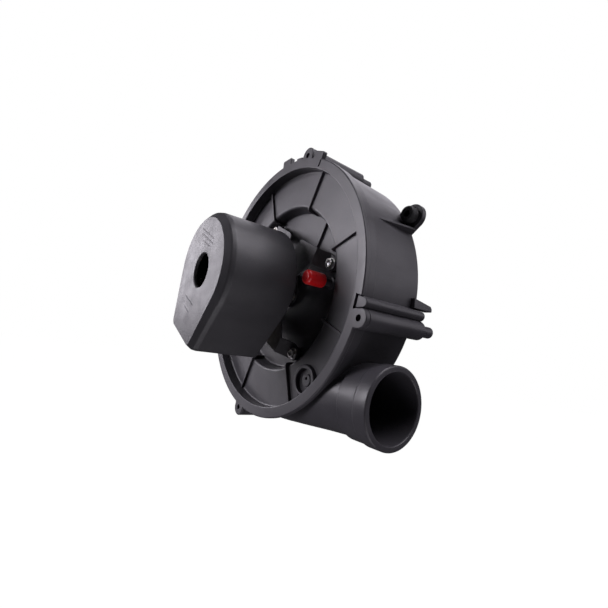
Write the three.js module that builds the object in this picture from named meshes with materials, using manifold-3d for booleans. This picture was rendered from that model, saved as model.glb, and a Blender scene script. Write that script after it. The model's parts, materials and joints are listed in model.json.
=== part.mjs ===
// A furnace combustion fan (draft inducer): a round moulded scroll housing with a dished front cover,
// a shaded-pole motor under a plastic cap, and a blower wheel that draws flue gas in through the back
// and drives it out of the tangential outlet pipe.
//
// Millimetres. The fan's axis is the Y axis, the motor faces -Y, the outlet points to +X and +Z is up.
// The origin is on the fan's axis, in the plane of the housing's back face.

import * as THREE from 'three';
import { mergeVertices } from 'three/addons/utils/BufferGeometryUtils.js';
import Module from 'manifold-3d';

const wasm = await Module();
wasm.setup();

// ---------------------------------------------------------------- driving dimensions

const gap = 0.3; // between two pieces that touch
const roundSteps = 48; // sides of a large circle
const mediumSteps = 32; // sides of the inlet, the wheel's hub and the like
const smallSteps = 12; // sides of a screw or a small boss

const flangeRadius = 105; // 8 1/4 inch round flange
const flangeFront = -57; // front face of the cover's flange
const flangeThickness = 3.5;
const flangeBack = flangeFront + flangeThickness;
const drumWall = 2.9;
const drumRadiusBack = 101;
const drumRadiusFront = 103;
const backWall = 3;
const inletRadius = 36;
const gasketInner = 39.2;
const gasketOuter = 50;
const gasketSeat = 0.6; // depth of the recess in the back face that the inlet gasket sits in

const rimRadius = 97; // inner edge of the cover's flange
const annulusFront = -48; // the ring-shaped floor of the cover
const wellTopRadius = 70;
const wellRadius = 65;
const wellFront = -39; // the round well that the motor sits in
const coverWall = 2.5;
const shaftHoleRadius = 12.5;

const earAngles = [76, -14, -104, 166];
const earCircle = 106.8; // radius that the mounting holes lie on
const earRadius = 6.6;
const mountHoleRadius = 2.2;
const spigotRadius = 4;
const spigotLength = 12.6; // beyond the back face

const outletMouth = 115; // x of the outlet pipe's end
const outletY = -28.6;
const outletZ = -76.6;
const outletBore = 21.8;
const collarRadius = 25.2; // takes a 2 inch rubber coupling
const lipRadius = 26;

const railAngle = -8.8; // locating rail beside the right-hand ear
const railCircle = 106.4;
const railRadius = 3.4;

const lugAngles = [31.5, 148.5, 211.5];
const lugCircle = 108.4;
const lugRadius = 9;

const ribAngles = Array.from({ length: 8 }, (_, i) => 21.5 + 45 * i);

const tapX = 59.3; // pressure tap, beside the motor
const tapZ = 0.4;
const tapCapRadius = 5.2;

// The motor is laid out along its tail, the side that its coil sits on. Places on it are given as
// [distance along the tail, distance across the tail] from the fan's axis.
const tailAngle = -115;
const mountPoints = [[-37.5, 44.8], [37.5, 44.8], [37.5, -44.8], [-37.5, -44.8]];
const boltPoints = [[0, 20.2], [0, -20.2]];
const boltRadius = 1.9;

const capRadius = 43;
const capTail = 56.5; // axis to the flat end of the cap's tail
const capTailHalf = 24;
const capTailAngle = -112.5; // the cap sits a little askew on the motor
const capFront = -119;
const capRear = -63.3;
const capWall = 2.3;
const capHoleRadius = 12.5;
const capHolePoint = [1.2, 2.6];

const shaftRadius = 3.175; // 1/4 inch shaft
const rotorRadius = 15.1;
const stackFront = -86;
const stackRear = -61;

const wheelRadius = 60;
const wheelFront = -33;
const wheelRear = -4.6;
const bladeCount = 24;

// ---------------------------------------------------------------- small geometry helpers

const radians = (degrees) => (degrees * Math.PI) / 180;

const polar = (radius, degrees) => [radius * Math.cos(radians(degrees)), radius * Math.sin(radians(degrees))];

// Joins equal points and drops the flat triangles that a revolved profile leaves on its axis.
function welded(geometry) {
  const bare = new THREE.BufferGeometry();
  bare.setAttribute('position', geometry.getAttribute('position').clone());
  bare.setIndex(geometry.getIndex() ? geometry.getIndex().clone() : null);
  const merged = mergeVertices(bare, 1e-4);
  const index = merged.getIndex().array;
  const kept = [];
  for (let i = 0; i < index.length; i += 3) {
    const [a, b, c] = [index[i], index[i + 1], index[i + 2]];
    if (a !== b && b !== c && c !== a) kept.push(a, b, c);
  }
  merged.setIndex(kept);
  return merged;
}

function signedVolume(geometry) {
  const index = geometry.getIndex().array;
  const point = geometry.getAttribute('position');
  const [a, b, c] = [new THREE.Vector3(), new THREE.Vector3(), new THREE.Vector3()];
  let total = 0;
  for (let i = 0; i < index.length; i += 3) {
    a.fromBufferAttribute(point, index[i]);
    b.fromBufferAttribute(point, index[i + 1]);
    c.fromBufferAttribute(point, index[i + 2]);
    total += a.dot(b.cross(c)) / 6;
  }
  return total;
}

// A closed geometry as a manifold solid with its faces pointing out.
function solid(geometry) {
  const clean = welded(geometry);
  const triVerts = Uint32Array.from(clean.getIndex().array);
  if (signedVolume(clean) < 0) triVerts.reverse();
  const vertProperties = Float32Array.from(clean.getAttribute('position').array);
  return new wasm.Manifold(new wasm.Mesh({ numProp: 3, vertProperties, triVerts }));
}

function joined(solids) {
  return solids.reduce((sum, piece) => sum.add(piece));
}

function cut(body, tools) {
  return tools.reduce((rest, tool) => rest.subtract(tool), body);
}

function geometryOf(manifold) {
  const mesh = manifold.getMesh();
  const geometry = new THREE.BufferGeometry();
  geometry.setAttribute('position', new THREE.BufferAttribute(Float32Array.from(mesh.vertProperties), 3));
  geometry.setIndex(new THREE.BufferAttribute(Uint32Array.from(mesh.triVerts), 1));
  geometry.computeVertexNormals();
  return geometry;
}

// A closed [radius, y] outline turned about the Y axis, then moved to [x, z].
function turned(outline, steps = roundSteps, [x, z] = [0, 0]) {
  const points = outline.map(([radius, y]) => new THREE.Vector2(radius, y));
  if (outline[0][0] > 0) points.push(points[0].clone());
  return solid(new THREE.LatheGeometry(points, steps).translate(x, 0, z));
}

function rod(radius, y0, y1, at = [0, 0], steps = smallSteps) {
  return turned([[0, y0], [radius, y0], [radius, y1], [0, y1]], steps, at);
}

function tube(outer, inner, y0, y1, at = [0, 0], steps = smallSteps) {
  return turned([[inner, y0], [outer, y0], [outer, y1], [inner, y1]], steps, at);
}

// An outline in X and Z, drawn as a THREE.Shape, as a slab from y0 to y1.
function slab(shape, y0, y1, curveSegments = 6) {
  const geometry = new THREE.ExtrudeGeometry(shape, { depth: y1 - y0, bevelEnabled: false, curveSegments });
  return solid(geometry.rotateX(Math.PI / 2).translate(0, y1, 0));
}

function polygon(points) {
  return new THREE.Shape(points.map(([x, z]) => new THREE.Vector2(x, z)));
}

// A bar that lies along the radius at an angle, between two radii.
function radialBar(angle, r0, r1, width, y0, y1) {
  const box = new THREE.BoxGeometry(r1 - r0, y1 - y0, width);
  return solid(box.translate((r0 + r1) / 2, (y0 + y1) / 2, 0).rotateY(-radians(angle)));
}

// An outline drawn in radius and Y, given a width along the circumference and set at an angle.
function radialSlab(angle, width, outline) {
  const geometry = new THREE.ExtrudeGeometry(polygon(outline), { depth: width, bevelEnabled: false });
  return solid(geometry.translate(0, 0, -width / 2).rotateY(-radians(angle)));
}

// Rings with the same number of points, skinned and closed at both ends with a fan.
function skinned(rings) {
  const count = rings[0].length;
  const points = rings.flat();
  const faces = [];
  for (let ring = 0; ring + 1 < rings.length; ring += 1) {
    for (let i = 0; i < count; i += 1) {
      const [a, b] = [ring * count + i, ring * count + ((i + 1) % count)];
      faces.push(a, b, a + count, b, b + count, a + count);
    }
  }
  const last = (rings.length - 1) * count;
  for (let i = 1; i + 1 < count; i += 1) {
    faces.push(0, i + 1, i);
    faces.push(last, last + i, last + i + 1);
  }
  const geometry = new THREE.BufferGeometry();
  geometry.setAttribute('position', new THREE.Float32BufferAttribute(points.flat(), 3));
  geometry.setIndex(faces);
  return solid(geometry);
}

// The outline of a round plate of one radius with a round ear of another, as one convex shape.
function earShape(angle, centreRadius, radius, reach) {
  const [x, z] = polar(centreRadius, angle);
  const [footX, footZ] = polar(reach, angle);
  const [acrossX, acrossZ] = polar(radius * 1.25, angle + 90);
  const shape = new THREE.Shape();
  shape.moveTo(footX - acrossX, footZ - acrossZ);
  shape.absarc(x, z, radius, radians(angle - 90), radians(angle + 90), false);
  shape.lineTo(footX + acrossX, footZ + acrossZ);
  return shape;
}

// A place given along and across a direction, as [x, z].
function turnedPoint([along, across], angle) {
  const [ux, uz] = polar(1, angle);
  return [along * ux - across * uz, along * uz + across * ux];
}

const tailPoint = (point) => turnedPoint(point, tailAngle);

const tailPolygon = (points) => polygon(points.map(tailPoint));

function tailBar(along0, along1, across0, across1, y0, y1) {
  return slab(
    tailPolygon([[along0, across0], [along1, across0], [along1, across1], [along0, across1]]),
    y0,
    y1,
  );
}

// ---------------------------------------------------------------- rear housing

// One cross-section of the outlet where the square scroll turns into a round pipe.
// A higher power makes the section squarer.
function ductRing(x, halfDepth, halfHeight, power, centreY) {
  const sides = 28;
  const ring = [];
  for (let i = 0; i < sides; i += 1) {
    const turn = (2 * Math.PI * i) / sides;
    const [c, s] = [Math.cos(turn), Math.sin(turn)];
    const bulge = (Math.abs(c) ** power + Math.abs(s) ** power) ** (-1 / power);
    ring.push([x, centreY + halfDepth * bulge * c, outletZ + halfHeight * bulge * s]);
  }
  return ring;
}

function outletOutside() {
  const neck = 88;
  const lipStart = 104;
  return skinned([
    ductRing(-8, 25.6, 24.2, 7, -27),
    ductRing(20, 25.8, 26, 6, -27.2),
    ductRing(42, 25.2, 25.6, 4, -27.8),
    ductRing(66, 24.3, 24.6, 2.5, -28.4),
    ductRing(neck, 23.6, 23.6, 2, outletY),
    ductRing(neck + 1.5, collarRadius, collarRadius, 2, outletY),
    ductRing(lipStart, collarRadius, collarRadius, 2, outletY),
    ductRing(lipStart + 1, lipRadius, lipRadius, 2, outletY),
    ductRing(outletMouth, lipRadius, lipRadius, 2, outletY),
  ]);
}

function outletInside() {
  return skinned([
    ductRing(12, 23, 23, 6, -26.6),
    ductRing(42, 22.6, 22.8, 4, -27.6),
    ductRing(66, 21.9, 22.2, 2.5, -28.4),
    ductRing(88, outletBore, outletBore, 2, outletY),
    ductRing(outletMouth + 2, outletBore, outletBore, 2, outletY),
  ]);
}

// The inner wall that spirals out from the cut-off beside the outlet to the drum.
function voluteWall() {
  const [startAngle, endAngle] = [-33, 118];
  const [startRadius, endRadius] = [72, 99];
  const wall = 2.2;
  const steps = 14;
  const inner = [];
  const outer = [];
  for (let i = 0; i <= steps; i += 1) {
    const angle = startAngle + ((endAngle - startAngle) * i) / steps;
    const radius = startRadius + ((endRadius - startRadius) * i) / steps;
    inner.push(polar(radius - wall / 2, angle));
    outer.unshift(polar(radius + wall / 2, angle));
  }
  return slab(polygon([...inner, ...outer]), -backWall - 0.5, annulusFront + coverWall + 0.4, 1);
}

// The drum's outside with the thicker band that backs the cover's flange.
function drumOutside() {
  const front = flangeBack + gap;
  const bandRear = -46;
  const bandRadius = flangeRadius - 0.7;
  return turned([
    [0, 0], [drumRadiusBack - 1.2, 0], [drumRadiusBack, -1.2], [drumRadiusFront, bandRear + 1],
    [bandRadius, bandRear], [bandRadius, front], [0, front],
  ]);
}

function drumInside() {
  const frontRadius = 100.2;
  return turned([
    [0, -backWall], [drumRadiusBack - drumWall - 1.5, -backWall], [drumRadiusBack - drumWall, -backWall - 1.5],
    [frontRadius, -46], [frontRadius, flangeBack - 1], [0, flangeBack - 1],
  ]);
}

// A screw tube down the drum's side, ending in a spigot that locates in the furnace panel.
function mountTube(angle) {
  const at = polar(earCircle, angle);
  const tubeBody = rod(earRadius, flangeBack + gap, 0, at, 16);
  const spigot = turned([
    [0, -2], [spigotRadius, -2], [spigotRadius, spigotLength - 1], [spigotRadius - 1, spigotLength],
    [0, spigotLength],
  ], smallSteps, at);
  return tubeBody.add(spigot);
}

// The rail with a rounded nose that locates in a notch of the cover's flange.
function locatingRail() {
  const shape = earShape(railAngle, railCircle, railRadius, 101);
  return slab(shape, flangeFront + 0.6, 0);
}

// A tapered tongue behind the back face, above the locating rail.
function hookTongue() {
  const [root, tip] = [-7, spigotLength];
  const width = 6;
  const shape = new THREE.Shape();
  shape.moveTo(root, -4.6);
  shape.lineTo(tip - 1.5, -7.4);
  shape.lineTo(tip, -9.2);
  shape.lineTo(tip, -11.4);
  shape.lineTo(root, -11.4);
  const geometry = new THREE.ExtrudeGeometry(shape, { depth: width, bevelEnabled: false });
  // The outline is drawn in Y and Z, and the depth runs along X.
  const basis = new THREE.Matrix4().makeBasis(
    new THREE.Vector3(0, 1, 0),
    new THREE.Vector3(0, 0, 1),
    new THREE.Vector3(1, 0, 0),
  );
  return solid(geometry.applyMatrix4(basis).translate(98.6, 0, 0));
}

function mountLug(angle) {
  const lugThickness = 4.2;
  return slab(earShape(angle, lugCircle, lugRadius, 92), -lugThickness, 0, 8);
}

// A thin fin that rises from the drum towards the lug above it.
function lugFin(angle) {
  return radialSlab(angle, 2, [[102.2, -46], [98.5, -46], [98.5, -3], [106.5, -3]]);
}

function rearHousing() {
  const lipRadiusOutside = inletRadius + 2.5;
  const inletLip = tube(lipRadiusOutside, inletRadius - 1, -2, 2.5, [0, 0], mediumSteps);
  const shell = joined([
    drumOutside(),
    outletOutside(),
    inletLip,
    ...earAngles.map(mountTube),
    ...lugAngles.map(mountLug),
    ...lugAngles.map((angle) => lugFin(angle - 5.5)),
    locatingRail(),
    hookTongue(),
  ]);
  const sealGroove = tube(103, 101.2, flangeBack - 1, flangeBack + 1.9, [0, 0], roundSteps);
  const hollow = cut(shell, [
    drumInside(),
    outletInside(),
    rod(inletRadius, -9, 9, [0, 0], mediumSteps),
    tube(gasketOuter + 0.5, lipRadiusOutside, -gasketSeat, 1, [0, 0], mediumSteps),
    sealGroove,
    ...earAngles.map((angle) => rod(mountHoleRadius, -70, 30, polar(earCircle, angle))),
    ...lugAngles.map((angle) => rod(4.6, -20, 20, polar(lugCircle, angle), smallSteps)),
  ]);
  return hollow.add(voluteWall().subtract(outletInside()));
}

// ---------------------------------------------------------------- front cover

function coverDish() {
  return turned([
    [shaftHoleRadius, wellFront], [wellRadius - 1, wellFront], [wellRadius, wellFront - 1],
    [wellTopRadius - 3, annulusFront + 1.2], [wellTopRadius - 1.6, annulusFront - 0.2],
    [wellTopRadius + 1.4, annulusFront - 0.4], [rimRadius - 2.2, annulusFront],
    [rimRadius - 0.6, annulusFront - 1.5], [rimRadius, flangeFront],
    [flangeRadius - 0.6, flangeFront], [flangeRadius, flangeFront + 0.6], [flangeRadius, flangeBack],
    [rimRadius + 2.6, flangeBack], [rimRadius + 2, annulusFront], [rimRadius, annulusFront + coverWall],
    [wellTopRadius + 1, annulusFront + coverWall], [wellRadius + 2.4, wellFront - 4],
    [wellRadius + 1.4, wellFront + coverWall], [shaftHoleRadius, wellFront + coverWall],
  ]);
}

// A low radial rib across the annulus, over the rounded edge and down the wall of the well.
function coverRib(angle) {
  const width = 1.5;
  const height = 2.3;
  return joined([
    radialBar(angle, wellTopRadius - 3.4, rimRadius - 0.5, width, annulusFront - height, annulusFront + 1),
    radialBar(angle, wellRadius - 1.2, wellRadius + 1, width, annulusFront - height + 1, wellFront + 1),
  ]);
}

// A flange ear round each mounting hole.
function coverEars() {
  return earAngles.map((angle) => slab(earShape(angle, earCircle, earRadius, 99), flangeFront, flangeBack, 7));
}

function clipTabs() {
  return [
    radialBar(92.3, 100, 110.2, 12, flangeFront, flangeBack),
    radialBar(82.2, 100, 106.5, 8, flangeFront, flangeBack),
    radialBar(68, 99, 110.5, 12, flangeFront, flangeBack),
  ];
}

// A blank port: a raised ring round a recess with a drilled island.
function blankPort() {
  const at = [50.4, -70.4];
  const front = annulusFront - 3.2;
  const [islandX, islandZ] = [at[0] + 2.6, at[1] + 0.6];
  const island = rod(4.4, front + 0.6, annulusFront + 1, [islandX, islandZ]);
  const pinHole = rod(1.2, front - 1, annulusFront + 0.2, [islandX, islandZ + 1.4], 8);
  return tube(11.4, 8.6, front, annulusFront + 1, at, 18).add(island.subtract(pinHole));
}

// A boss with a barbed nipple.
function pressureTap() {
  return turned([
    [0, wellFront + 1], [4.6, wellFront + 1], [4.6, wellFront - 6], [2.5, wellFront - 6.6],
    [2.5, wellFront - 21], [2.9, wellFront - 21.6], [2, wellFront - 25], [0, wellFront - 25],
  ], smallSteps, [tapX, tapZ]);
}

// A low rib on the well's floor that lies along the motor's tail.
function floorRib() {
  const [from, across, width] = [-40, 15.2, 1.5];
  return tailBar(-63.6, from, across - width / 2, across + width / 2, wellFront - 2.2, wellFront + 1);
}

function frontCover() {
  const posts = mountPoints.map((point) => rod(5, wellFront - 0.4, wellFront + 3.6, tailPoint(point)));
  const body = joined([
    coverDish(),
    ...ribAngles.map(coverRib),
    ...coverEars(),
    ...clipTabs(),
    ...posts,
    floorRib(),
    blankPort(),
    pressureTap(),
  ]);
  return cut(body, [
    ...earAngles.map((angle) => rod(mountHoleRadius, -70, 0, polar(earCircle, angle))),
    ...mountPoints.map((point) => rod(2, wellFront - 9, wellFront + 3, tailPoint(point), 8)),
    slab(earShape(railAngle, railCircle, railRadius + 0.5, 99.8), -70, flangeBack + 1),
    radialBar(64.8, 98.6, 104.2, 1.8, -70, flangeBack + 1),
    rod(1.3, -80, 0, [tapX, tapZ], 10),
  ]);
}

// ---------------------------------------------------------------- seals and rubber

function housingSeal() {
  return tube(102.7, 101.5, flangeBack + 0.1, flangeBack + 1.6, [0, 0], roundSteps);
}

function inletGasket() {
  return tube(gasketOuter, gasketInner, gap - gasketSeat, 3.3, [0, 0], mediumSteps);
}

function shaftSeal() {
  return turned([
    [shaftRadius + 0.5, wellFront - 1.8], [9, wellFront - 2.4], [15, wellFront - 1.8], [15, wellFront - gap],
    [shaftHoleRadius - gap, wellFront - gap], [shaftHoleRadius - gap, wellFront + coverWall],
    [shaftRadius + 0.5, wellFront + coverWall],
  ], 20);
}

function lugGrommet(angle) {
  return turned([
    [2.4, -11], [5.2, -11], [5.9, -10.2], [5.9, -4.2 - gap], [4.3, -4.2 - gap], [4.3, gap], [6.2, gap],
    [6.2, 1.9], [2.4, 1.9],
  ], smallSteps, polar(lugCircle, angle));
}

// A dipped vinyl cap that closes the pressure tap.
function tapCap() {
  const openEnd = wellFront - 13.3;
  const closedEnd = wellFront - 28.7;
  const bore = 3.2;
  return turned([
    [bore, openEnd], [tapCapRadius, openEnd], [tapCapRadius, closedEnd + 2.4],
    [tapCapRadius - 0.5, closedEnd + 1], [tapCapRadius - 1.8, closedEnd + 0.2], [0, closedEnd],
    [0, closedEnd + 3], [bore, closedEnd + 3],
  ], 16, [tapX, tapZ]);
}

// ---------------------------------------------------------------- motor

function laminations() {
  const outline = slab(tailPolygon([
    [-31, -19], [-25, -25], [10, -25], [18, -23.5], [41, -23.5], [41, 23.5], [18, 23.5], [10, 25],
    [-25, 25], [-31, 19],
  ]), stackFront, stackRear);
  return cut(outline, [
    rod(rotorRadius + 0.4, -100, -40, [0, 0], mediumSteps),
    tailBar(18.5, 30, -15.5, 15.5, -100, -40),
    ...boltHoles(),
    ...shadingSlots(-1),
    ...shadingSlots(1),
  ]);
}

// A rounded box round the stator's core leg: the winding and the bobbin's two ends.
function coilBlock(along0, along1, y0, y1, across0, across1, corner) {
  const shape = new THREE.Shape();
  const [a0, a1, b0, b1] = [along0, along1, y0, y1];
  shape.moveTo(a0 + corner, b0);
  shape.lineTo(a1 - corner, b0);
  shape.absarc(a1 - corner, b0 + corner, corner, -Math.PI / 2, 0, false);
  shape.lineTo(a1, b1 - corner);
  shape.absarc(a1 - corner, b1 - corner, corner, 0, Math.PI / 2, false);
  shape.lineTo(a0 + corner, b1);
  shape.absarc(a0 + corner, b1 - corner, corner, Math.PI / 2, Math.PI, false);
  shape.lineTo(a0, b0 + corner);
  shape.absarc(a0 + corner, b0 + corner, corner, Math.PI, 1.5 * Math.PI, false);
  const geometry = new THREE.ExtrudeGeometry(shape, {
    depth: across1 - across0, bevelEnabled: false, curveSegments: 2,
  });
  const [ux, uz] = polar(1, tailAngle);
  const basis = new THREE.Matrix4().makeBasis(
    new THREE.Vector3(ux, 0, uz),
    new THREE.Vector3(0, 1, 0),
    new THREE.Vector3(-uz, 0, ux),
  );
  return solid(geometry.translate(0, 0, across0).applyMatrix4(basis));
}

const coreWindow = (margin, across) =>
  coilBlock(30 - margin, 41 + margin, stackFront - margin, stackRear + margin, -across, across, 0.2);

function coilWinding() {
  const block = coilBlock(23, 48.4, stackFront - 7, stackRear + 7, -13.2, 13.2, 4);
  return block.subtract(coreWindow(1.9, 20));
}

function bobbin() {
  const ends = [[-15, -13.5], [13.5, 15]].map(([a, b]) =>
    coilBlock(21.6, 49.8, stackFront - 8, stackRear + 8, a, b, 3));
  const sleeve = coilBlock(28.4, 42.6, stackFront - 1.6, stackRear + 1.6, -14, 14, 0.6);
  return joined([...ends, sleeve]).subtract(coreWindow(gap, 20));
}

const shadingAcross = [6, 14];
const shadingLeg = 2.2;

// A copper loop that passes through two slots in the laminations beside one pole tip.
function shadingBand(side) {
  const [a0, a1] = shadingAcross;
  const loop = tailBar(-19, -17, side * a0, side * a1, stackFront - 2, stackRear + 2);
  const inside = tailBar(
    -20, -16, side * (a0 + shadingLeg), side * (a1 - shadingLeg), stackFront - gap, stackRear + gap,
  );
  return loop.subtract(inside);
}

// The slots that the two legs of a shading band pass through.
function shadingSlots(side) {
  const [a0, a1] = shadingAcross;
  return [[a0, a0 + shadingLeg], [a1 - shadingLeg, a1]].map(([from, to]) =>
    tailBar(-19 - gap, -17 + gap, side * (from - gap), side * (to + gap), -100, -40));
}

function spadeTerminal(side) {
  const [from, to] = [side * 13.8, side * 14.6];
  return tailBar(38, 44.3, from, to, stackRear + 8 + gap, stackRear + 17);
}

const bearingRadius = 7;
const bearingSeat = bearingRadius + gap;

function boltFeet(y0, y1) {
  return boltPoints.map((point) => rod(4.4, y0, y1, tailPoint(point)));
}

function boltHoles() {
  return boltPoints.map((point) => rod(boltRadius + gap, -100, -40, tailPoint(point), 8));
}

function frontBearingBracket() {
  const body = joined([
    rod(9.2, -97, -90, [0, 0], 16),
    tailBar(-7, 7, -23, 23, -92, -90),
    ...boltFeet(-92, stackFront - gap),
  ]);
  return cut(body, [rod(bearingSeat, -99, -80, [0, 0], 16), ...boltHoles()]);
}

const plateFront = -52.5; // mount bracket
const plateRear = -50.8;
const footFront = -43.7;
const footRear = -42.2;

// One arm of the mount bracket: a wedge of the plate, a slope down towards the cover and a round foot.
function bracketArm([along, across]) {
  const side = Math.sign(along);
  const way = Math.sign(across);
  const [inner, outer] = [31, 44]; // edges of the arm, along the tail
  const [slopeTop, slopeFoot] = [33, 40]; // across the tail
  const wedge = tailPolygon([[14, 0], [outer, 8], [outer, slopeTop], [inner, slopeTop], [14, 18]]
    .map(([a, b]) => [side * a, way * b]));
  const slope = skinned([inner, outer].map((edge) => [
    [slopeTop, plateFront], [slopeFoot, footFront], [slopeFoot, footRear], [slopeTop, plateRear],
  ].map(([b, y]) => {
    const [x, z] = tailPoint([side * edge, way * b]);
    return [x, y, z];
  })));
  return joined([
    slab(wedge, plateFront, plateRear),
    slope,
    tailBar(side * (inner + 1), side * (outer - 1), way * slopeFoot, across, footFront, footRear),
    rod(5.5, footFront, footRear, tailPoint([along, across]), 16),
  ]);
}

// A stamped plate round the rear bearing, with four arms that step down to the cover and a window
// for the terminals.
function mountBracket() {
  const body = joined([
    rod(9.2, -58, -50, [0, 0], 16),
    rod(26, plateFront, plateRear, [0, 0], 24),
    ...boltFeet(stackRear + gap, plateFront + 0.5),
    ...mountPoints.map(bracketArm),
  ]);
  return cut(body, [
    rod(bearingSeat, -70, -40, [0, 0], 16),
    tailBar(36, 48, -17.5, 17.5, -60, -45),
    ...boltHoles(),
    ...mountPoints.map((point) => rod(2.4, -50, -40, tailPoint(point), 8)),
  ]);
}

function sleeveBearing(y0, y1) {
  return tube(bearingRadius, shaftRadius + gap, y0, y1, [0, 0], 16);
}

function motorBolt(point) {
  const at = tailPoint(point);
  return rod(3.5, -94.9, -92 - gap, at, 6).add(rod(boltRadius, -93, -46.8, at, 8));
}

function motorNut(point) {
  const nut = rod(3.7, -50.8 + gap, -47.6, tailPoint(point), 6);
  return nut.subtract(rod(boltRadius + gap, -60, -40, tailPoint(point), 8));
}

function mountWasher(point) {
  return tube(5.2, 2.1, footRear + gap, wellFront - 0.4 - gap, tailPoint(point));
}

// A hexagon head screw with a washer face.
function mountScrew(point) {
  const at = tailPoint(point);
  return joined([
    rod(3.8, footFront - 3.5, footFront - 1.1, at, 6),
    rod(4.8, footFront - 1.3, footFront - gap, at, 14),
    rod(1.7, footFront - 0.5, wellFront + 2.8, at, 8),
  ]);
}

// ---------------------------------------------------------------- motor cap

// The cap's outline: a circle and a flat-ended tail, drawn in by an inset.
function capRing(inset, y) {
  const radius = capRadius - inset;
  const tail = capTail - inset * 0.55;
  const half = capTailHalf - inset * 0.45;
  const corner = 4;
  const cornerAngle = Math.atan2(half, tail);
  const tangent = cornerAngle + Math.acos(radius / Math.hypot(half, tail));
  const ring = [];
  const arcSteps = 22;
  for (let i = 0; i <= arcSteps; i += 1) {
    const turn = tangent + ((2 * Math.PI - 2 * tangent) * i) / arcSteps;
    ring.push([radius * Math.cos(turn), radius * Math.sin(turn)]);
  }
  ring.push([tail - corner, -half - corner * 0.28], [tail - corner * 0.3, -half + corner * 0.3]);
  ring.push([tail, -half + corner], [tail, half - corner]);
  ring.push([tail - corner * 0.3, half - corner * 0.3], [tail - corner, half + corner * 0.28]);
  return ring.map((point) => {
    const [x, z] = turnedPoint(point, capTailAngle);
    return [x, y, z];
  });
}

function motorCap() {
  const outside = skinned([
    capRing(0, capRear), capRing(0.4, capFront + 7), capRing(1.2, capFront + 4.2), capRing(5, capFront + 0.6),
    capRing(5.9, capFront),
  ]);
  const inside = skinned([
    capRing(capWall, capRear + 1), capRing(capWall + 0.4, capFront + 8), capRing(capWall + 1.2, capFront + 6),
    capRing(capWall + 4.6, capFront + capWall),
  ]);
  const ribs = [-1, 1].map((side) => tailBar(-2, 2, side * 25.4, side * 41.4, -96, capRear - 3));
  const airHole = rod(capHoleRadius, capFront - 5, capFront + 7, tailPoint(capHolePoint), 24);
  return joined([outside.subtract(inside), ...ribs]).subtract(airHole);
}

// ---------------------------------------------------------------- turning parts

const shaftBore = shaftRadius + gap;

function motorShaft() {
  return rod(shaftRadius, -111, -9, [0, 0], 16);
}

function rotorCore() {
  return turned([
    [shaftBore, -88], [13.4, -88], [13.4, -86.4], [rotorRadius, -86.4], [rotorRadius, -60.6],
    [13.4, -60.6], [13.4, -60], [shaftBore, -60],
  ], mediumSteps);
}

function thrustWasher(y0) {
  return tube(6.4, shaftBore, y0, y0 + 1.1, [0, 0], 16);
}

function coolingFan() {
  const blades = Array.from({ length: 8 }, (_, i) => radialBar(45 * i + 10, 6, 33, 1.6, -107.5, -98.9));
  const body = joined([rod(7, -109, -98.5, [0, 0], 16), rod(31, -99.9, -98.5, [0, 0], 24), ...blades]);
  return body.subtract(rod(shaftBore, -120, -90, [0, 0], 16));
}

// One curved blade of the blower wheel, leaning back from the direction of turning.
function wheelBlade(angle) {
  const [inner, outer] = [42, wheelRadius - 0.4];
  const thick = 1.3;
  const sweep = 16;
  const steps = 2;
  const lead = [];
  const trail = [];
  for (let i = 0; i <= steps; i += 1) {
    const t = i / steps;
    const radius = inner + (outer - inner) * t;
    const lean = angle - sweep * t * t;
    const half = (thick / 2 / radius) * (180 / Math.PI);
    lead.push(polar(radius, lean + half));
    trail.unshift(polar(radius, lean - half));
  }
  return slab(polygon([...lead, ...trail]), wheelFront + 1, wheelRear - 1, 1);
}

function blowerWheel() {
  const plate = turned([
    [0, wheelFront], [wheelRadius, wheelFront], [wheelRadius, wheelFront + 1.6], [12, wheelFront + 2.4],
    [9, wheelFront + 6], [8, wheelFront + 19], [0, wheelFront + 19],
  ], mediumSteps);
  const eyeRing = tube(wheelRadius, 45, wheelRear - 1.6, wheelRear, [0, 0], mediumSteps);
  const blades = Array.from({ length: bladeCount }, (_, i) => wheelBlade((360 * i) / bladeCount));
  return joined([plate, eyeRing, ...blades]).subtract(rod(shaftBore, -60, 0, [0, 0], 16));
}

function wheelClamp() {
  return tube(10.4, 8.8, wheelFront + 12, wheelFront + 17, [0, 0], 20);
}

// ---------------------------------------------------------------- the assembly

const finish = (color, roughness, metalness = 0) => new THREE.MeshStandardMaterial({ color, roughness, metalness });
const blackPlastic = finish(0x47464b, 0.5);
const capPlastic = finish(0x3a393d, 0.42);
const darkRubber = finish(0x1c1c1e, 0.8);
const redVinyl = finish(0xc01a20, 0.35);
const zincSteel = finish(0xaab0b4, 0.35, 1);
const paintedSteel = finish(0x2c2c2e, 0.45);
const coreSteel = finish(0x5c5d60, 0.5, 1);
const copperWire = finish(0x8a4a2a, 0.4, 1);
const bronze = finish(0x9a7440, 0.5, 1);
const nylon = finish(0xd9d4c4, 0.5);
const foam = finish(0x3c3c3c, 0.95);

const fan = new THREE.Group();

function add(name, manifold, material, parent = fan) {
  const mesh = new THREE.Mesh(geometryOf(manifold), material);
  mesh.name = name;
  parent.add(mesh);
}

function addEach(name, places, make, material) {
  places.forEach((place, i) => add(`${name}_${i + 1}`, make(place), material));
}

add('rear_housing', rearHousing(), blackPlastic);
add('front_cover', frontCover(), blackPlastic);
add('housing_seal', housingSeal(), darkRubber);
add('inlet_gasket', inletGasket(), foam);
add('shaft_seal', shaftSeal(), darkRubber);
addEach('lug_grommet', lugAngles, lugGrommet, darkRubber);
addEach('mount_washer', mountPoints, mountWasher, darkRubber);
addEach('mount_screw', mountPoints, mountScrew, zincSteel);

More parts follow.
